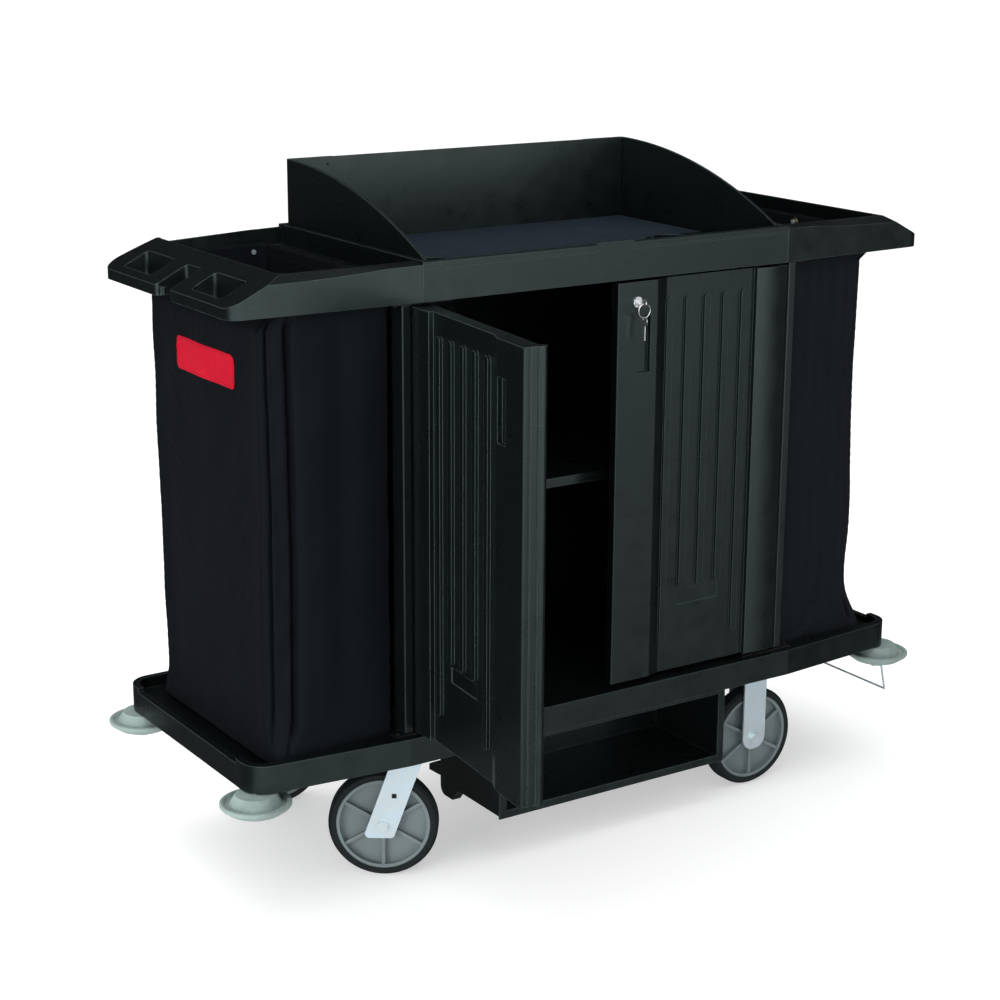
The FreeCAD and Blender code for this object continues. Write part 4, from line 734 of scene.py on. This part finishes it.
def studio_world():
    """White for the camera and softly bright for matte surfaces; reflections see one soft glow in front of
    the cart, a faint one below and darkness elsewhere, as between black screens."""
    world = bpy.data.worlds.new("studio")
    bpy.context.scene.world = world
    world.use_nodes = True
    world.cycles.sampling_method = "NONE"
    tree = world.node_tree

    def node(kind, **inputs):
        made = tree.nodes.new(kind)
        for name, value in inputs.items():
            socket = made.inputs[name.replace("_", " ")]
            if isinstance(value, bpy.types.NodeSocket):
                tree.links.new(value, socket)
            else:
                socket.default_value = value
        return made

    way = node("ShaderNodeTexCoord").outputs["Generated"]
    toward = node("ShaderNodeVectorMath")
    toward.operation = "DOT_PRODUCT"
    tree.links.new(way, toward.inputs[0])
    toward.inputs[1].default_value = GLOW_WAY
    height = node("ShaderNodeSeparateXYZ", Vector=way).outputs["Z"]
    glow = node("ShaderNodeMapRange", Value=toward.outputs["Value"], From_Min=0.42, From_Max=0.68,
                To_Min=REFLECTED_BACK, To_Max=REFLECTED_FRONT)
    glow.interpolation_type = "SMOOTHSTEP"
    low = node("ShaderNodeMapRange", Value=height, From_Min=-0.12, From_Max=-0.38, To_Max=REFLECTED_BELOW)
    level = node("ShaderNodeMapRange", Value=height, From_Min=-0.30, From_Max=-0.12, To_Min=0.16)
    level.interpolation_type = "SMOOTHSTEP"
    lit = node("ShaderNodeMath")
    lit.operation = "MULTIPLY"
    tree.links.new(glow.outputs["Result"], lit.inputs[0])
    tree.links.new(level.outputs["Result"], lit.inputs[1])
    both = node("ShaderNodeMath")
    tree.links.new(lit.outputs["Value"], both.inputs[0])
    tree.links.new(low.outputs["Result"], both.inputs[1])
    above = node("ShaderNodeMapRange", Value=height, From_Min=0.55, From_Max=0.85, To_Max=REFLECTED_ABOVE)
    every = node("ShaderNodeMath")
    tree.links.new(both.outputs["Value"], every.inputs[0])
    tree.links.new(above.outputs["Result"], every.inputs[1])
    path = node("ShaderNodeLightPath")
    bias = node("ShaderNodeVectorMath")
    bias.operation = "DOT_PRODUCT"
    tree.links.new(way, bias.inputs[0])
    bias.inputs[1].default_value = MATTE_BIAS
    soft = node("ShaderNodeMath")
    tree.links.new(bias.outputs["Value"], soft.inputs[0])
    soft.inputs[1].default_value = MATTE_LIGHT
    matte = node("ShaderNodeMix", Factor=path.outputs["Is Glossy Ray"], A=soft.outputs["Value"],
                 B=every.outputs["Value"])
    seen = node("ShaderNodeMix", Factor=path.outputs["Is Camera Ray"], A=matte.outputs["Result"], B=1.0)
    background = tree.nodes["Background"]
    background.inputs["Color"].default_value = (1.0, 1.0, 1.0, 1.0)
    tree.links.new(seen.outputs["Result"], background.inputs["Strength"])


pale_floor()
studio_world()
deck_low, deck_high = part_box("deck")
CENTRE = Vector(((deck_low.x + deck_high.x) / 2, (deck_low.y + deck_high.y) / 2, 0))


def studio(name, place, aim, size, power, tall):
    area_light(name, CENTRE + Vector(place), CENTRE + Vector(aim), size, power, tall)


studio("top", place=(-0.2, 0.2, 3.6), aim=(0, 0, 0.6), size=4.0, power=40, tall=3.0)
studio("left", place=(-3.6, -1.1, 0.9), aim=(-0.5, -0.3, 0.6), size=2.2, power=62, tall=1.4)

sun = bpy.data.lights.new("sky", "SUN")
sun.energy = 0.35
sun.angle = math.radians(70)
overhead = bpy.data.objects.new("sky", sun)
overhead.visible_glossy = False
bpy.context.scene.collection.objects.link(overhead)


# ------------------------------------------------------------------- camera
def aim_camera(azimuth, elevation, roll, distance, target, lens):
    """Camera on a sphere round the target, turned a little about its own view line."""
    a, e = math.radians(azimuth), math.radians(elevation)
    back = Vector((math.sin(a) * math.cos(e), -math.cos(a) * math.cos(e), math.sin(e)))
    data = bpy.data.cameras.new("camera")
    data.lens = lens
    data.sensor_width = 36
    data.clip_end = 100
    camera = bpy.data.objects.new("camera", data)
    bpy.context.scene.collection.objects.link(camera)
    camera.location = Vector(target) + back * distance
    camera.rotation_mode = "QUATERNION"
    turn = Quaternion((0, 0, 1), math.radians(roll))
    camera.rotation_quaternion = (-back).to_track_quat("-Z", "Y") @ turn
    bpy.context.scene.camera = camera


aim_camera(azimuth=-33.41, elevation=15.59, roll=0.29, distance=4.17118,
           target=CENTRE + Vector((-0.05941, 0.01329, 0.61287)), lens=77.11)
view = bpy.context.scene.view_settings
view.view_transform = "Standard"
view.look = "None"
